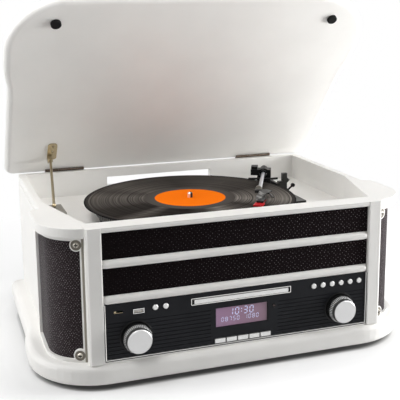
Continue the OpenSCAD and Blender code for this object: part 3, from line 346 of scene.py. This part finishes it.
def vinyl():
    """Record: paper label, run-out ring, and grooves with tracks; fans of light and streaks
    painted in as reflections, and the run-out ring and a band near the rim painted paler as
    sheen.
    """
    n = Nodes("record_vinyl")
    radius, angle = about_spindle(n)
    share = n.math("DIVIDE", radius, RECORD_R)
    label, run_out = LABEL_R / RECORD_R, RUN_OUT_R / RECORD_R
    # The run-out ring and a narrow band near the rim are lighter grey: painted sheen on black
    # vinyl.
    tone = n.ramp(
        share,
        (0.0, (0.93, 0.180, 0.007)),
        (label - 0.003, (0.95, 0.190, 0.008)),
        (label, (0.080, 0.073, 0.066)),
        (run_out, (0.070, 0.062, 0.056)),
        (run_out + 0.004, (0.0085, 0.0065, 0.0060)),
        (0.955, (0.0100, 0.0080, 0.0070)),
        (0.962, (0.050, 0.046, 0.042)),
        (1.0, (0.012, 0.011, 0.011)))
    grooved = n.math("MULTIPLY", n.math("GREATER_THAN", share, run_out),
                     n.math("LESS_THAN", share, 0.958))
    tracks = n.rings(radius, 330.0, 4.0)
    fine = n.rings(radius, 1100.0, 2.0)
    turn = n.math("DIVIDE", angle, math.tau)
    # Painted reflection: pale fans by angle and streaks along the tracks, mixed into the base
    # colour.
    painted_reflection_fans = n.ramp(n.math("ADD", turn, 0.5),
                  (0.00, grey(0.30)), (0.03, grey(0.12)), (0.08, grey(0.08)), (0.105, grey(0.42)),
                  (0.135, grey(0.08)), (0.19, grey(0.03)), (0.24, grey(0.20)),
                  (0.285, grey(0.85)), (0.33, grey(0.35)), (0.37, grey(0.15)),
                  (0.43, grey(1.0)), (0.49, grey(0.55)), (0.54, grey(0.20)),
                  (0.64, grey(0.30)), (0.74, grey(0.18)), (0.86, grey(0.45)), (0.90, grey(0.28)),
                  (0.94, grey(0.50)), (1.0, grey(0.30)))
    streaks = n.math("MULTIPLY_ADD", n.math("SUBTRACT", tracks, 0.35), 2.2, 0.15, clamp=True)
    lines = n.math("MULTIPLY_ADD", fine, 0.7, 0.65)
    light = n.math("MULTIPLY", n.math("MULTIPLY", streaks, painted_reflection_fans),
                   n.math("MULTIPLY", lines, grooved))
    with_painted_reflection = n.mix(n.math("MULTIPLY", light, 1.4, clamp=True), tone, (0.26, 0.235, 0.21))
    gloss = n.math("MULTIPLY_ADD", n.math("MULTIPLY", tracks, grooved), 0.20, 0.08)
    paper = n.math("LESS_THAN", share, label)
    rough = n.math("MAXIMUM", gloss, n.math("MULTIPLY", paper, 0.62))
    return n.set(Base_Color=with_painted_reflection, Roughness=rough, Specular_IOR_Level=0.0012)


def platter_with_painted_spindle_light():
    """Black moulding with a ribbed rim, and a spindle painted bright on its left half and dark on
    its right as light and shade.
    """
    n = Nodes("platter_black")
    radius, angle = about_spindle(n)
    ribs = n.math("MULTIPLY_ADD", n.math("SINE", n.math("MULTIPLY", angle, 150.0)), 0.5, 0.5)
    raised = n.math("MULTIPLY", n.math("GREATER_THAN", radius, PLATTER_RIM), ribs)
    spindle = n.math("LESS_THAN", radius, SPINDLE_R)
    tone = n.mix(n.math("MULTIPLY", raised, raised), (0.006, 0.006, 0.006), (0.16, 0.155, 0.14))
    # Painted light and shade: the spindle is bright left of its axis and dark right of it.
    lit = n.math("LESS_THAN", n.split()[0], RECORD[0] - 0.0006)
    tone = n.mix(spindle, tone, n.mix(lit, (0.05, 0.05, 0.048), (0.85, 0.84, 0.82)))
    grain = n.rings(radius, 1800.0, 2.0)
    n.bump(n.math("ADD", raised, n.math("MULTIPLY", grain, 0.05)), 0.0006, 0.8)
    rough = n.math("MULTIPLY_ADD", grain, 0.15, 0.30)
    return n.set(Base_Color=tone, Roughness=rough, Metallic=spindle, Specular_IOR_Level=0.2)


def circuit(name):
    """Printed board: copper tracks under green lacquer."""
    n = Nodes(name)
    cells = n.add("ShaderNodeTexVoronoi")
    cells.distance = "CHEBYCHEV"
    cells.inputs["Scale"].default_value = 260.0
    n.link(n.coords, cells.inputs["Vector"])
    tracks = n.math("GREATER_THAN", cells.outputs["Distance"], 0.42)
    tone = n.mix(tracks, (0.012, 0.10, 0.035), (0.03, 0.20, 0.06))
    n.bump(tracks, 0.00005, 0.7)
    return n.set(Base_Color=tone, Roughness=0.35)


def panel_black():
    n = Nodes("panel_black")
    tone = n.ramp(n.noise(30.0, 3.0), (0.35, (0.0095, 0.0100, 0.0125)),
                  (0.65, (0.0135, 0.0142, 0.0172)))
    lines = n.noise(1600.0, 2.0, n.scaled(0.02, 1.0, 1.0))
    n.bump(lines, 0.00003, 0.6)
    rough = n.math("MULTIPLY_ADD", lines, 0.12, 0.30)
    return n.set(Base_Color=tone, Roughness=rough, Specular_IOR_Level=0.12)


def knob_metal_and_painted_rib_light():
    """Spun silver cap; dark skirt with ribs painted as bright highlights, stopping short of the
    cap and painted dark as shade near the panel.
    """
    n = Nodes("knob_metal_and_painted_rib_light")
    x, y, z = n.split()
    side = n.math("SUBTRACT", n.math("ABSOLUTE", x), KNOB[0])
    angle = n.math("ARCTAN2", n.math("SUBTRACT", z, KNOB[1]), side)
    # Painted highlights: rib crests near-white, hollows near-black.
    ribs = n.math("MULTIPLY_ADD", n.math("COSINE", n.math("MULTIPLY", angle, RIBS)), -2.5, -0.2,
                  clamp=True)
    cap = n.math("LESS_THAN", y, FRONT - CAP_EDGE * MM)
    ribbed = n.math("GREATER_THAN", y, FRONT - RIB_EDGE * MM)
    grain = n.noise(1500.0, 3.0)
    # Painted shade: nearer the panel the ribs are painted dark.
    painted_shade_foot = n.math("GREATER_THAN", y, FRONT - RIB_FOOT * MM)
    ribs = n.math("MULTIPLY", ribs, n.math("MULTIPLY_ADD", painted_shade_foot, -0.97, 1.0))
    skirt = n.mix(ribbed, (0.065, 0.065, 0.063), n.mix(ribs, grey(0.003), grey(0.85)))
    tone = n.mix(cap, skirt, n.ramp(grain, (0.3, grey(0.58)), (0.7, grey(0.66))))
    n.bump(grain, 0.00002, 0.5)
    rough = n.math("MULTIPLY_ADD", grain, 0.12, 0.30)
    metallic = n.math("MULTIPLY_ADD", cap, 0.5, 0.2)
    return n.set(Base_Color=tone, Roughness=rough, Metallic=metallic, Specular_IOR_Level=0.2)


def along_arm(n):
    """Coordinates across and along the tonearm, measured from its pivot."""
    x, y, z = n.split(n.scaled(1.0, 1.0, 1.0, (-PIVOT[0], -PIVOT[1], 0.0)))
    c, s = math.cos(ARM_TURN), math.sin(ARM_TURN)
    across = n.math("ADD", n.math("MULTIPLY", x, c), n.math("MULTIPLY", y, s))
    back = n.math("SUBTRACT", n.math("MULTIPLY", y, c), n.math("MULTIPLY", x, s))
    return across, back, z


def arm_finish():
    """Satin tube, beige collar, black socket and grey headshell, by place along the arm."""
    n = Nodes("arm_finish")
    across, back, z = along_arm(n)
    out = n.math("DIVIDE", back, -0.2)
    grain = n.noise(700.0, 3.0)
    tone = n.ramp(out, (0.0, (0.012, 0.012, 0.012)), (0.045, (0.74, 0.74, 0.78)),
                  (0.574, (0.40, 0.38, 0.33)), (0.600, (0.012, 0.012, 0.012)),
                  (0.662, (0.012, 0.012, 0.012)), mode="CONSTANT")
    streaks = n.noise(1.0, 1.0, n.scaled(150.0, 60.0, 40.0))
    streaks = n.math("MULTIPLY", n.math("SUBTRACT", streaks, 0.55), 11.0, clamp=True)
    shell = n.math("MULTIPLY", n.math("GREATER_THAN", out, 0.662), streaks)
    tone = n.mix(n.math("MULTIPLY", shell, 0.8), tone, (0.30, 0.30, 0.29))
    lift = n.math("MULTIPLY", n.math("GREATER_THAN", across, 0.0110),
                  n.math("LESS_THAN", back, -0.1425))
    tone = n.mix(lift, tone, (0.012, 0.012, 0.012))
    tone = n.mix(n.math("MULTIPLY", grain, 0.3), tone, (0.10, 0.10, 0.10))
    metallic = n.math("MULTIPLY", n.math("LESS_THAN", out, 0.60), 0.7)
    n.bump(grain, 0.00002, 0.4)
    rough = n.math("MULTIPLY_ADD", grain, 0.15, 0.24)
    return n.set(Base_Color=tone, Roughness=rough, Metallic=metallic, Specular_IOR_Level=0.15)


def cartridge_finish():
    """Black body with a red stylus holder under it."""
    n = Nodes("cartridge_finish")
    x, y, z = n.split()
    low = n.math("LESS_THAN", z, STYLUS_TOP)
    grain = n.noise(400.0, 2.0)
    tone = n.mix(low, n.ramp(grain, (0.3, grey(0.010)), (0.7, grey(0.016))),
                 n.ramp(grain, (0.3, (0.52, 0.010, 0.016)), (0.7, (0.62, 0.016, 0.022))))
    n.bump(n.noise(1800.0, 2.0), 0.00001, 0.5)
    return n.set(Base_Color=tone, Roughness=n.math("MULTIPLY_ADD", grain, 0.1, 0.25),
                 Specular_IOR_Level=0.15)


def laminations(name):
    """Stacked iron sheets with varnish."""
    n = Nodes(name)
    x, y, z = n.split()
    sheets = n.math("MULTIPLY_ADD", n.math("SINE", n.math("MULTIPLY", y, 9000.0)), 0.5, 0.5)
    tone = n.ramp(sheets, (0.2, (0.05, 0.035, 0.025)), (0.8, (0.16, 0.11, 0.07)))
    n.bump(sheets, 0.0001, 0.8)
    return n.set(Base_Color=tone, Roughness=0.5, Metallic=0.3)


PIVOT = (0.136, FRONT + 0.254)
ARM_TURN = math.radians(-25.6)
STYLUS_TOP = PLINTH + 0.1607
KNOB = (0.139, PLINTH + 0.029)
RIBS = 48
RIB_FOOT = 3.2        # the ribs' painted highlights begin here; nearer the panel they are painted dark as shade
RIB_EDGE = 8.4        # to here
CAP_EDGE = 13.4       # the knobs' caps stand further out than this
WHITE = (0.90, 0.888, 0.86)
PAINT_SPECULAR = 0.42
RECESS_HALF, RECESS_REACH = 0.0008, 0.0024        # a screw's crosswise recess, painted near-black as shade
white = lacquer("white_lacquer", WHITE)
TAB_R = 0.0066        # bare plate round a grille screw
STRIP_X = 0.2008      # the strip of painted shade lies nearer the middle than this
grille_frame_white = grille_white("grille_frame_white", screw_centres())
front_cloth = cloth("front_cloth", (0.0030, 0.0020, 0.0022), (0.010, 0.0068, 0.0075),
                    (0.26, 0.23, 0.24), 0.0042, 0.15, 0.0, 3.0)
side_cloth = cloth("side_cloth", (0.018, 0.013, 0.0145), (0.046, 0.034, 0.037),
                   (0.52, 0.47, 0.49), 0.0034, 0.17, 0.12)
black = moulded("black_plastic", (0.005, 0.005, 0.005), 0.36, specular=0.2)
chassis_top = moulded("chassis_plastic", (0.012, 0.012, 0.010), 0.30, specular=0.35)
rubber = moulded("rubber", (0.006, 0.006, 0.006), 0.75, 0.00006, specular=0.15)
steel = zinc("zinc_plate", (0.40, 0.385, 0.35))
hinge_steel = zinc("hinge_steel", (0.12, 0.092, 0.072))
brass = metal("yellow_plate", (0.46, 0.385, 0.25), 0.32, (1.0, 0.05, 1.0))
chrome = metal("chrome", (0.80, 0.80, 0.80), 0.12, streak=0.03)
trim_silver = metal("trim_silver", (0.74, 0.73, 0.71), 0.30, (0.03, 1.0, 0.03))
silver = metal("silver_paint", (0.72, 0.72, 0.71), 0.34, metallic=0.75)
knobs = knob_metal_and_painted_rib_light()
bare_steel = metal("pressed_steel", (0.52, 0.52, 0.50), 0.38, (1.0, 0.1, 1.0))
arm = arm_finish()
stylus = cartridge_finish()
board = circuit("circuit_board")
paper_cone = moulded("paper_cone", (0.02, 0.019, 0.018), 0.85, 0.0001)
iron = laminations("laminated_iron")
platter_black = platter_with_painted_spindle_light()
record = vinyl()
panel = panel_black()


def paint(material, *names):
    for name in names:
        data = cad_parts[name].data
        data.materials.clear()
        data.materials.append(material)


BUTTONS = ["standby_button", "source_button"] + ["transport_button_%d" % i for i in range(1, 7)]
KEYS = ["menu_key_%d" % i for i in range(1, 6)]
paint(white, "plinth", "side_wall_left", "side_wall_right", "back_wall", "rim_board",
      "deck_board", "front_frame", "cross_bars", "lid")
paint(grille_frame_white, "grille_frame_left", "grille_frame_right")
paint(front_cloth, "front_cloth_strips")
paint(side_cloth, "grille_cloth_left", "grille_cloth_right")
paint(rubber, "feet", "lid_bumpers", "drive_belt")
paint(screw_zinc_and_recess_shade(screw_centres()), "grille_screws")
paint(steel, "stay_lower_bracket")
paint(hinge_steel, "hinge_base_leaves", "hinge_lid_leaves")
paint(paper_cone, "speaker_left", "speaker_right")
paint(panel, "control_panel")
paint(trim_silver, "panel_trim")
paint(board, "display_board", "amplifier_board")
paint(chrome, "usb_socket")
paint(bare_steel, "cd_mechanism", "drive_motor")
paint(iron, "transformer")
paint(black, "rear_connector_panel", "tonearm_base", "tonearm_gimbal", "counterweight",
      "cue_lever")
paint(chassis_top, "turntable_chassis")
paint(platter_black, "platter")
paint(record, "vinyl_record")
paint(brass, "motor_pulley", "stay_upper_bracket", "stay_rod")
paint(arm, "tonearm")
paint(stylus, "cartridge")
paint(silver, "cd_tray", *KEYS)
paint(silver, *BUTTONS)
paint(knobs, "volume_knob", "tuning_knob")


# ---------------------------------------------------------------- mesh helpers
def new_piece(name, bm, material, body, smooth=True):
    bmesh.ops.recalc_face_normals(bm, faces=bm.faces[:])
    mesh = bpy.data.meshes.new(name)
    bm.to_mesh(mesh)
    bm.free()
    for polygon in mesh.polygons:
        polygon.use_smooth = smooth
    mesh.materials.append(material)
    piece = bpy.data.objects.new(name, mesh)
    bpy.context.scene.collection.objects.link(piece)
    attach(piece, body)
    return piece


def add_box(bm, low, high, bevel=0.0, turn=None):
    low, high = Vector(low), Vector(high)
    made = bmesh.ops.create_cube(bm, size=1.0)["verts"]
    middle, size = (low + high) / 2, high - low
    for v in made:
        v.co = Vector((v.co[i] * size[i] for i in range(3)))
    if bevel:
        edges = list({e for v in made for e in v.link_edges})
        made = list({v for f in bmesh.ops.bevel(
            bm, geom=edges, offset=bevel, segments=2, affect="EDGES",
            profile=0.5)["faces"] for v in f.verts} | {v for v in made if v.is_valid})
    for v in made:
        v.co = (turn @ v.co if turn else v.co) + middle


def lathe(bm, profile, place, steps=48):
    """Turns (radius, height) pairs about the local z axis of the matrix place."""
    rings = []
    for radius, height in profile:
        if radius < 1e-7:
            rings.append([bm.verts.new(place @ Vector((0, 0, height)))])
        else:
            rings.append([bm.verts.new(place @ Vector((
                radius * math.cos(2 * math.pi * i / steps),
                radius * math.sin(2 * math.pi * i / steps), height))) for i in range(steps)])
    for low, high in zip(rings, rings[1:]):
        for i in range(steps):
            j = (i + 1) % steps
            if len(low) == 1 and len(high) == 1:
                continue
            if len(low) == 1:
                bm.faces.new((low[0], high[j], high[i]))
            elif len(high) == 1:
                bm.faces.new((low[i], low[j], high[0]))
            else:
                bm.faces.new((low[i], low[j], high[j], high[i]))


def facing_front(x, y, z):
    """Place whose z axis points out of the front."""
    return Matrix.Translation(at(x, y, z)) @ Matrix.Rotation(math.radians(90), 4, "X")


# ---------------------------------------------------------------- display
SEGMENTS = {"0": "abcdef", "1": "bc", "2": "abged", "3": "abgcd", "4": "fgbc", "5": "afgcd",
            "6": "afgedc", "7": "abc", "8": "abcdefg", "9": "abcdfg", " ": "", "-": "g"}


def digit(bm, text, x, z, height, y, slant=0.08):
    """One seven-segment figure, lying on the display at depth y; all in millimetres."""
    w, t, half = height * 0.5, height * 0.13, height / 2
    ends = {"a": ((0, height), (w, height)), "b": ((w, half), (w, height)),
            "c": ((w, 0), (w, half)), "d": ((0, 0), (w, 0)), "e": ((0, 0), (0, half)),
            "f": ((0, half), (0, height)), "g": ((0, half), (w, half))}
    for name in SEGMENTS[text]:
        (ax, az), (bx, bz) = ends[name]
        flat = az == bz
        gap = t * 0.35
        if flat:
            corners = [(ax + gap, az), (ax + gap + t / 2, az + t / 2),
                       (bx - gap - t / 2, az + t / 2), (bx - gap, az),
                       (bx - gap - t / 2, az - t / 2), (ax + gap + t / 2, az - t / 2)]
        else:
            corners = [(ax, az + gap), (ax - t / 2, az + gap + t / 2),
                       (ax - t / 2, bz - gap - t / 2), (ax, bz - gap),
                       (ax + t / 2, bz - gap - t / 2), (ax + t / 2, az + gap + t / 2)]
        front = [bm.verts.new(at(x + cx + cz * slant, y, z + cz)) for cx, cz in corners]
        back = [bm.verts.new(at(x + cx + cz * slant, y + 0.25, z + cz)) for cx, cz in corners]
        bm.faces.new(front)
        bm.faces.new(back[::-1])
        for i in range(6):
            j = (i + 1) % 6
            bm.faces.new((front[i], back[i], back[j], front[j]))


def lcd_back():
    n = Nodes("lcd_backlight")
    x, y, z = n.split()
    across = n.math("MULTIPLY_ADD", x, 1000.0 / 72.0, 0.5, clamp=True)
    tone = n.ramp(across, (0.0, (0.34, 0.20, 0.33)), (0.45, (0.29, 0.165, 0.255)),
                  (1.0, (0.26, 0.165, 0.215)))
    weave = n.noise(1500.0, 1.0)
    n.bump(weave, 0.00001, 0.4)
    n.set(Base_Color=tone, Roughness=0.35, Emission_Strength=0.12)
    n.link(tone, n.shader.inputs["Emission Color"])
    return n.material


def lcd_ink():
    n = Nodes("lcd_figures")
    tone = n.ramp(n.noise(300.0, 2.0), (0.3, (0.58, 0.60, 0.85)), (0.7, (0.66, 0.68, 0.92)))
    n.set(Base_Color=tone, Roughness=0.4, Emission_Strength=0.32)
    n.link(tone, n.shader.inputs["Emission Color"])
    return n.material


CARD = (-160.8, 63.7)        # the card slot's middle
LCD_FACE = 5.05       # depth of the display's face
backlight, figures = lcd_back(), lcd_ink()


def make_display():
    bm = bmesh.new()
    add_box(bm, at(-35.1, LCD_FACE, 25.3), at(35.1, LCD_FACE + 0.9, 50.7), 0.00015)
    new_piece("display_face", bm, backlight, "cabinet", False)
    bm = bmesh.new()
    left, line = -17.0, 39.4
    for i, text in enumerate("10"):
        digit(bm, text, left + i * 8.2, line, 9.0, LCD_FACE - 0.12)
    for i, text in enumerate("30"):
        digit(bm, text, left + 19.8 + i * 8.2, line, 9.0, LCD_FACE - 0.12)
    for z in (line + 2.4, line + 6.0):
        add_box(bm, at(left + 16.3, LCD_FACE - 0.12, z), at(left + 17.5, LCD_FACE, z + 1.3))
    for i, text in enumerate("08750 1080"):
        digit(bm, text, -27.5 + i * 5.3, 31.8, 5.4, LCD_FACE - 0.12)
    new_piece("display_figures", bm, figures, "cabinet", False)


make_display()


# ---------------------------------------------------------------- panel fittings
pale_insert = moulded("pale_insert", (0.62, 0.61, 0.59), 0.4)
eye_glass = moulded("eye_glass", (0.03, 0.012, 0.012), 0.12, 0.00001)


def make_eye():
    """Remote eye: a dark lens in a raised ring."""
    bm = bmesh.new()
    lathe(bm, [(0.0, 0.30), (1.0, 0.22), (1.7, 0.02), (1.75, -0.3), (0.0, -0.3)],
          facing_front(44.4, 3.5, 44.7) @ Matrix.Scale(MM, 4), 32)
    new_piece("eye_lens", bm, eye_glass, "cabinet")
    bm = bmesh.new()
    lathe(bm, [(1.8, -0.1), (1.8, 0.35), (2.0, 0.5), (2.6, 0.5), (2.8, 0.3), (2.8, -0.1)],
          facing_front(44.4, 3.5, 44.7) @ Matrix.Scale(MM, 4), 32)
    new_piece("eye_ring", bm, black, "cabinet")


def rounded(half_w, half_h, radius, steps=5):
    points = []
    for cx, cz, start in ((1, 1, 0), (-1, 1, 90), (-1, -1, 180), (1, -1, 270)):
        for i in range(steps + 1):
            angle = math.radians(start + 90 * i / steps)
            points.append((cx * (half_w - radius) + radius * math.cos(angle),
                           cz * (half_h - radius) + radius * math.sin(angle)))
    return points


def ring_between(bm, inner, outer, centre, y_back, y_front):
    """Flat ring between two outlines of equally many points, facing the front."""
    rows = []
    for outline, y in ((inner, y_back), (inner, y_front), (outer, y_front), (outer, y_back)):
        rows.append([bm.verts.new(at(centre[0] + x, y, centre[1] + z)) for x, z in outline])
    count = len(inner)
    for low, high in zip(rows, rows[1:] + rows[:1]):
        for i in range(count):
            j = (i + 1) % count
            bm.faces.new((low[i], low[j], high[j], high[i]))


def make_drawer_bezel():
    """Thin silver frame round the drawer's mouth."""
    bm = bmesh.new()
    ring_between(bm, rounded(67.2, 3.6, 0.5), rounded(68.1, 4.5, 1.4), (0.0, TRAY_Z),
                 3.5, 3.1)
    new_piece("drawer_bezel", bm, trim_silver, "cabinet", False)


def make_trim_gap_shade():
    """Black strips in the gap between the silver trim and the front frame: dark sheets standing
    in for the shade in that gap.
    """
    (left, _, low), (right, _, high) = (Vector(c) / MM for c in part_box("panel_trim"))
    low, high = low - PLINTH / MM, high - PLINTH / MM
    gap, front, back = 0.8, 0.9, 2.6
    bm = bmesh.new()
    # Painted shade: black sheets stand where the gap holds only shade.
    add_box(bm, at(left - gap, front, low - gap), at(right + gap, back, low - 0.03), 0.0001)
    for near, far in ((left - gap, left - 0.03), (right + 0.03, right + gap)):
        add_box(bm, at(near, front, low - 0.03), at(far, back, high - 0.2), 0.0001)
    new_piece("trim_gap_shade", bm, black, "cabinet", False)


def make_recess_rings():
    """Black dished rings in the panel, round the knobs' skirts."""
    bm = bmesh.new()
    for side in (-1, 1):
        lathe(bm, [(18.2, -0.2), (18.2, 0.1), (18.6, 0.15), (20.6, 0.45), (21.0, 0.3),
                   (21.0, -0.2)],
              facing_front(side * KNOB[0] / MM, 3.5, 29.0) @ Matrix.Scale(MM, 4), 64)
    new_piece("knob_recess_rings", bm, black, "cabinet")


def make_card_guide():
    """Yellow metal lip along the card slot's lower edge, and a tongue in its left end."""
    bm = bmesh.new()
    add_box(bm, at(CARD[0] - 5.6, 3.3, CARD[1] - 1.5), at(CARD[0] + 5.6, 3.5, CARD[1] - 1.1),
            0.00005)
    add_box(bm, at(CARD[0] - 5.2, 3.8, CARD[1] - 0.9), at(CARD[0] - 2.6, 4.6, CARD[1] + 0.9),
            0.00005)
    new_piece("card_guide", bm, brass, "cabinet", False)


def make_socket_tongue():
    """Pale insulator with four contacts in the socket's mouth."""
    (left, _, low), (right, _, high) = (Vector(c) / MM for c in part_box("usb_socket"))
    low, high = low - PLINTH / MM, high - PLINTH / MM
    bm = bmesh.new()
    add_box(bm, at(left + 0.9, 3.9, low + 1.3), at(right - 0.9, 4.08, high - 0.75), 0.00006)
    new_piece("socket_tongue", bm, pale_insert, "cabinet")
    bm = bmesh.new()
    for i in range(4):
        x = (left + right) / 2 + (i - 1.5) * 2.4
        add_box(bm, at(x - 0.5, 3.86, low + 1.7), at(x + 0.5, 3.9, low + 2.3))
    new_piece("socket_contacts", bm, brass, "cabinet", False)


TRAY_Z = (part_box("cd_tray")[0][2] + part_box("cd_tray")[1][2]) / 2 / MM - PLINTH / MM
make_eye()
make_trim_gap_shade()
make_recess_rings()
make_card_guide()
make_socket_tongue()
make_drawer_bezel()


# ---------------------------------------------------------------- light, floor and world
SKY_FROM_BACK = 0.3
BASE_HALF = (0.256, 0.180)        # the plinth's footprint and its corners
BASE_CORNER = 0.09
GLOW_FULL, WHITE_FROM = 0.08, 0.50
FLOOR_GLOW = 0.36


def make_world():
    """Soft light from behind the cabinet, seen and mirrored as plain white."""
    world = bpy.data.worlds.new("world")
    bpy.context.scene.world = world
    world.use_nodes = True
    tree = world.node_tree

    def math_node(operation, *sources):
        node = tree.nodes.new("ShaderNodeMath")
        node.operation = operation
        for socket, source in zip(node.inputs, sources):
            if isinstance(source, (int, float)):
                socket.default_value = source
            else:
                tree.links.new(source, socket)
        return node.outputs[0]

    direction = tree.nodes.new("ShaderNodeTexCoord").outputs["Generated"]
    dot = tree.nodes.new("ShaderNodeVectorMath")
    dot.operation = "DOT_PRODUCT"
    dot.inputs[1].default_value = (0, 1, 0)
    tree.links.new(direction, dot.inputs[0])
    strength = math_node("MULTIPLY", math_node("MAXIMUM", dot.outputs["Value"], 0.0),
                         SKY_FROM_BACK)
    light = tree.nodes["Background"]
    light.inputs["Color"].default_value = (1.0, 1.0, 1.0, 1.0)
    tree.links.new(strength, light.inputs["Strength"])
    seen = tree.nodes.new("ShaderNodeBackground")
    seen.inputs["Color"].default_value = (1.0, 1.0, 1.0, 1.0)
    seen.inputs["Strength"].default_value = 1.0
    path = tree.nodes.new("ShaderNodeLightPath")
    plain = math_node("MAXIMUM", math_node("MAXIMUM", path.outputs["Is Camera Ray"],
                                           path.outputs["Is Transmission Ray"]),
                      path.outputs["Is Glossy Ray"])
    mix = tree.nodes.new("ShaderNodeMixShader")
    tree.links.new(plain, mix.inputs[0])
    tree.links.new(light.outputs[0], mix.inputs[1])
    tree.links.new(seen.outputs[0], mix.inputs[2])
    tree.links.new(mix.outputs[0], tree.nodes["World Output"].inputs["Surface"])


def make_floor():
    """White paper: keeps the cast shadow near the cabinet, adds a painted shadow under and just
    round it, and fades to plain white further off.
    """
    bm = bmesh.new()
    bmesh.ops.create_grid(bm, x_segments=2, y_segments=2, size=6.0)
    mesh = bpy.data.meshes.new("floor")
    bm.to_mesh(mesh)
    bm.free()
    floor = bpy.data.objects.new("floor", mesh)
    bpy.context.scene.collection.objects.link(floor)
    n = Nodes("floor_paper_with_painted_shadow")
    x, y, z = n.split()
    beyond = []
    for axis, half in zip((x, y), BASE_HALF):
        past = n.math("SUBTRACT", n.math("ABSOLUTE", axis), half - BASE_CORNER)
        past = n.math("MAXIMUM", past, 0.0)
        beyond.append(n.math("MULTIPLY", past, past))
    away = n.math("SUBTRACT", n.math("SQRT", n.math("ADD", *beyond)), BASE_CORNER)
    paper = n.ramp(n.noise(3.0, 2.0), (0.4, grey(0.84)), (0.6, grey(0.86)))
    # Painted shadow: under the cabinet and within a few millimetres of it, the paper is painted
    # dark grey.
    clear = n.math("MULTIPLY_ADD", away, 110.0, 0.75, clamp=True)
    tone = n.mix(clear, grey(0.16), paper)
    n.set(Base_Color=tone, Roughness=0.8, Specular_IOR_Level=0.1)
    # Painted shadow: the glow fades out towards the cabinet, leaving a darker halo round it.
    near = n.math("DIVIDE", away, GLOW_FULL, clamp=True)
    far = n.math("DIVIDE", n.math("SUBTRACT", away, GLOW_FULL), WHITE_FROM - GLOW_FULL,
                 clamp=True)
    glow = n.add("ShaderNodeEmission")
    n.link(n.math("MULTIPLY_ADD", near, FLOOR_GLOW, 0.02), glow.inputs["Strength"])
    adder = n.add("ShaderNodeAddShader")
    n.link(n.shader.outputs[0], adder.inputs[0])
    n.link(glow.outputs[0], adder.inputs[1])
    plain = n.add("ShaderNodeEmission")
    fade = n.add("ShaderNodeMixShader")
    n.link(far, fade.inputs[0])
    n.link(adder.outputs[0], fade.inputs[1])
    n.link(plain.outputs[0], fade.inputs[2])
    path = n.add("ShaderNodeLightPath")
    mixer = n.add("ShaderNodeMixShader")
    seen = n.math("MAXIMUM", path.outputs["Is Camera Ray"], path.outputs["Is Glossy Ray"])
    n.link(seen, mixer.inputs[0])
    n.link(n.shader.outputs[0], mixer.inputs[1])
    n.link(fade.outputs[0], mixer.inputs[2])
    n.link(mixer.outputs[0], n.output.inputs["Surface"])
    mesh.materials.append(n.material)


def area_light(name, place, target, size, watts, colour=(1.0, 1.0, 1.0)):
    data = bpy.data.lights.new(name, "AREA")
    data.shape = "RECTANGLE"
    data.size, data.size_y = size
    data.energy = watts
    data.color = colour
    lamp = bpy.data.objects.new(name, data)
    bpy.context.scene.collection.objects.link(lamp)
    place, target = Vector(place), Vector(target)
    lamp.location = place
    lamp.rotation_euler = (target - place).to_track_quat("-Z", "Y").to_euler()


make_world()
make_floor()
area_light("right_low", (1.2, -0.3, 0.3), (0.1, 0.1, 0.2), (0.6, 0.5), 18.8)
area_light("left_back", (-2.0, 0.6, 0.8), (-0.1, 0.0, 0.15), (1.2, 1.2), 22.0)
area_light("left_high", (-1.2, 0.0, 1.6), (0.0, 0.0, 0.1), (1.0, 1.0), 3.5)
area_light("into_well_left", (-0.45, -0.3, 0.85), (0.1, 0.12, 0.15), (0.4, 0.4), 3.3)
area_light("into_well_right", (0.55, -0.3, 0.7), (-0.1, 0.15, 0.15), (0.4, 0.3), 1.6)
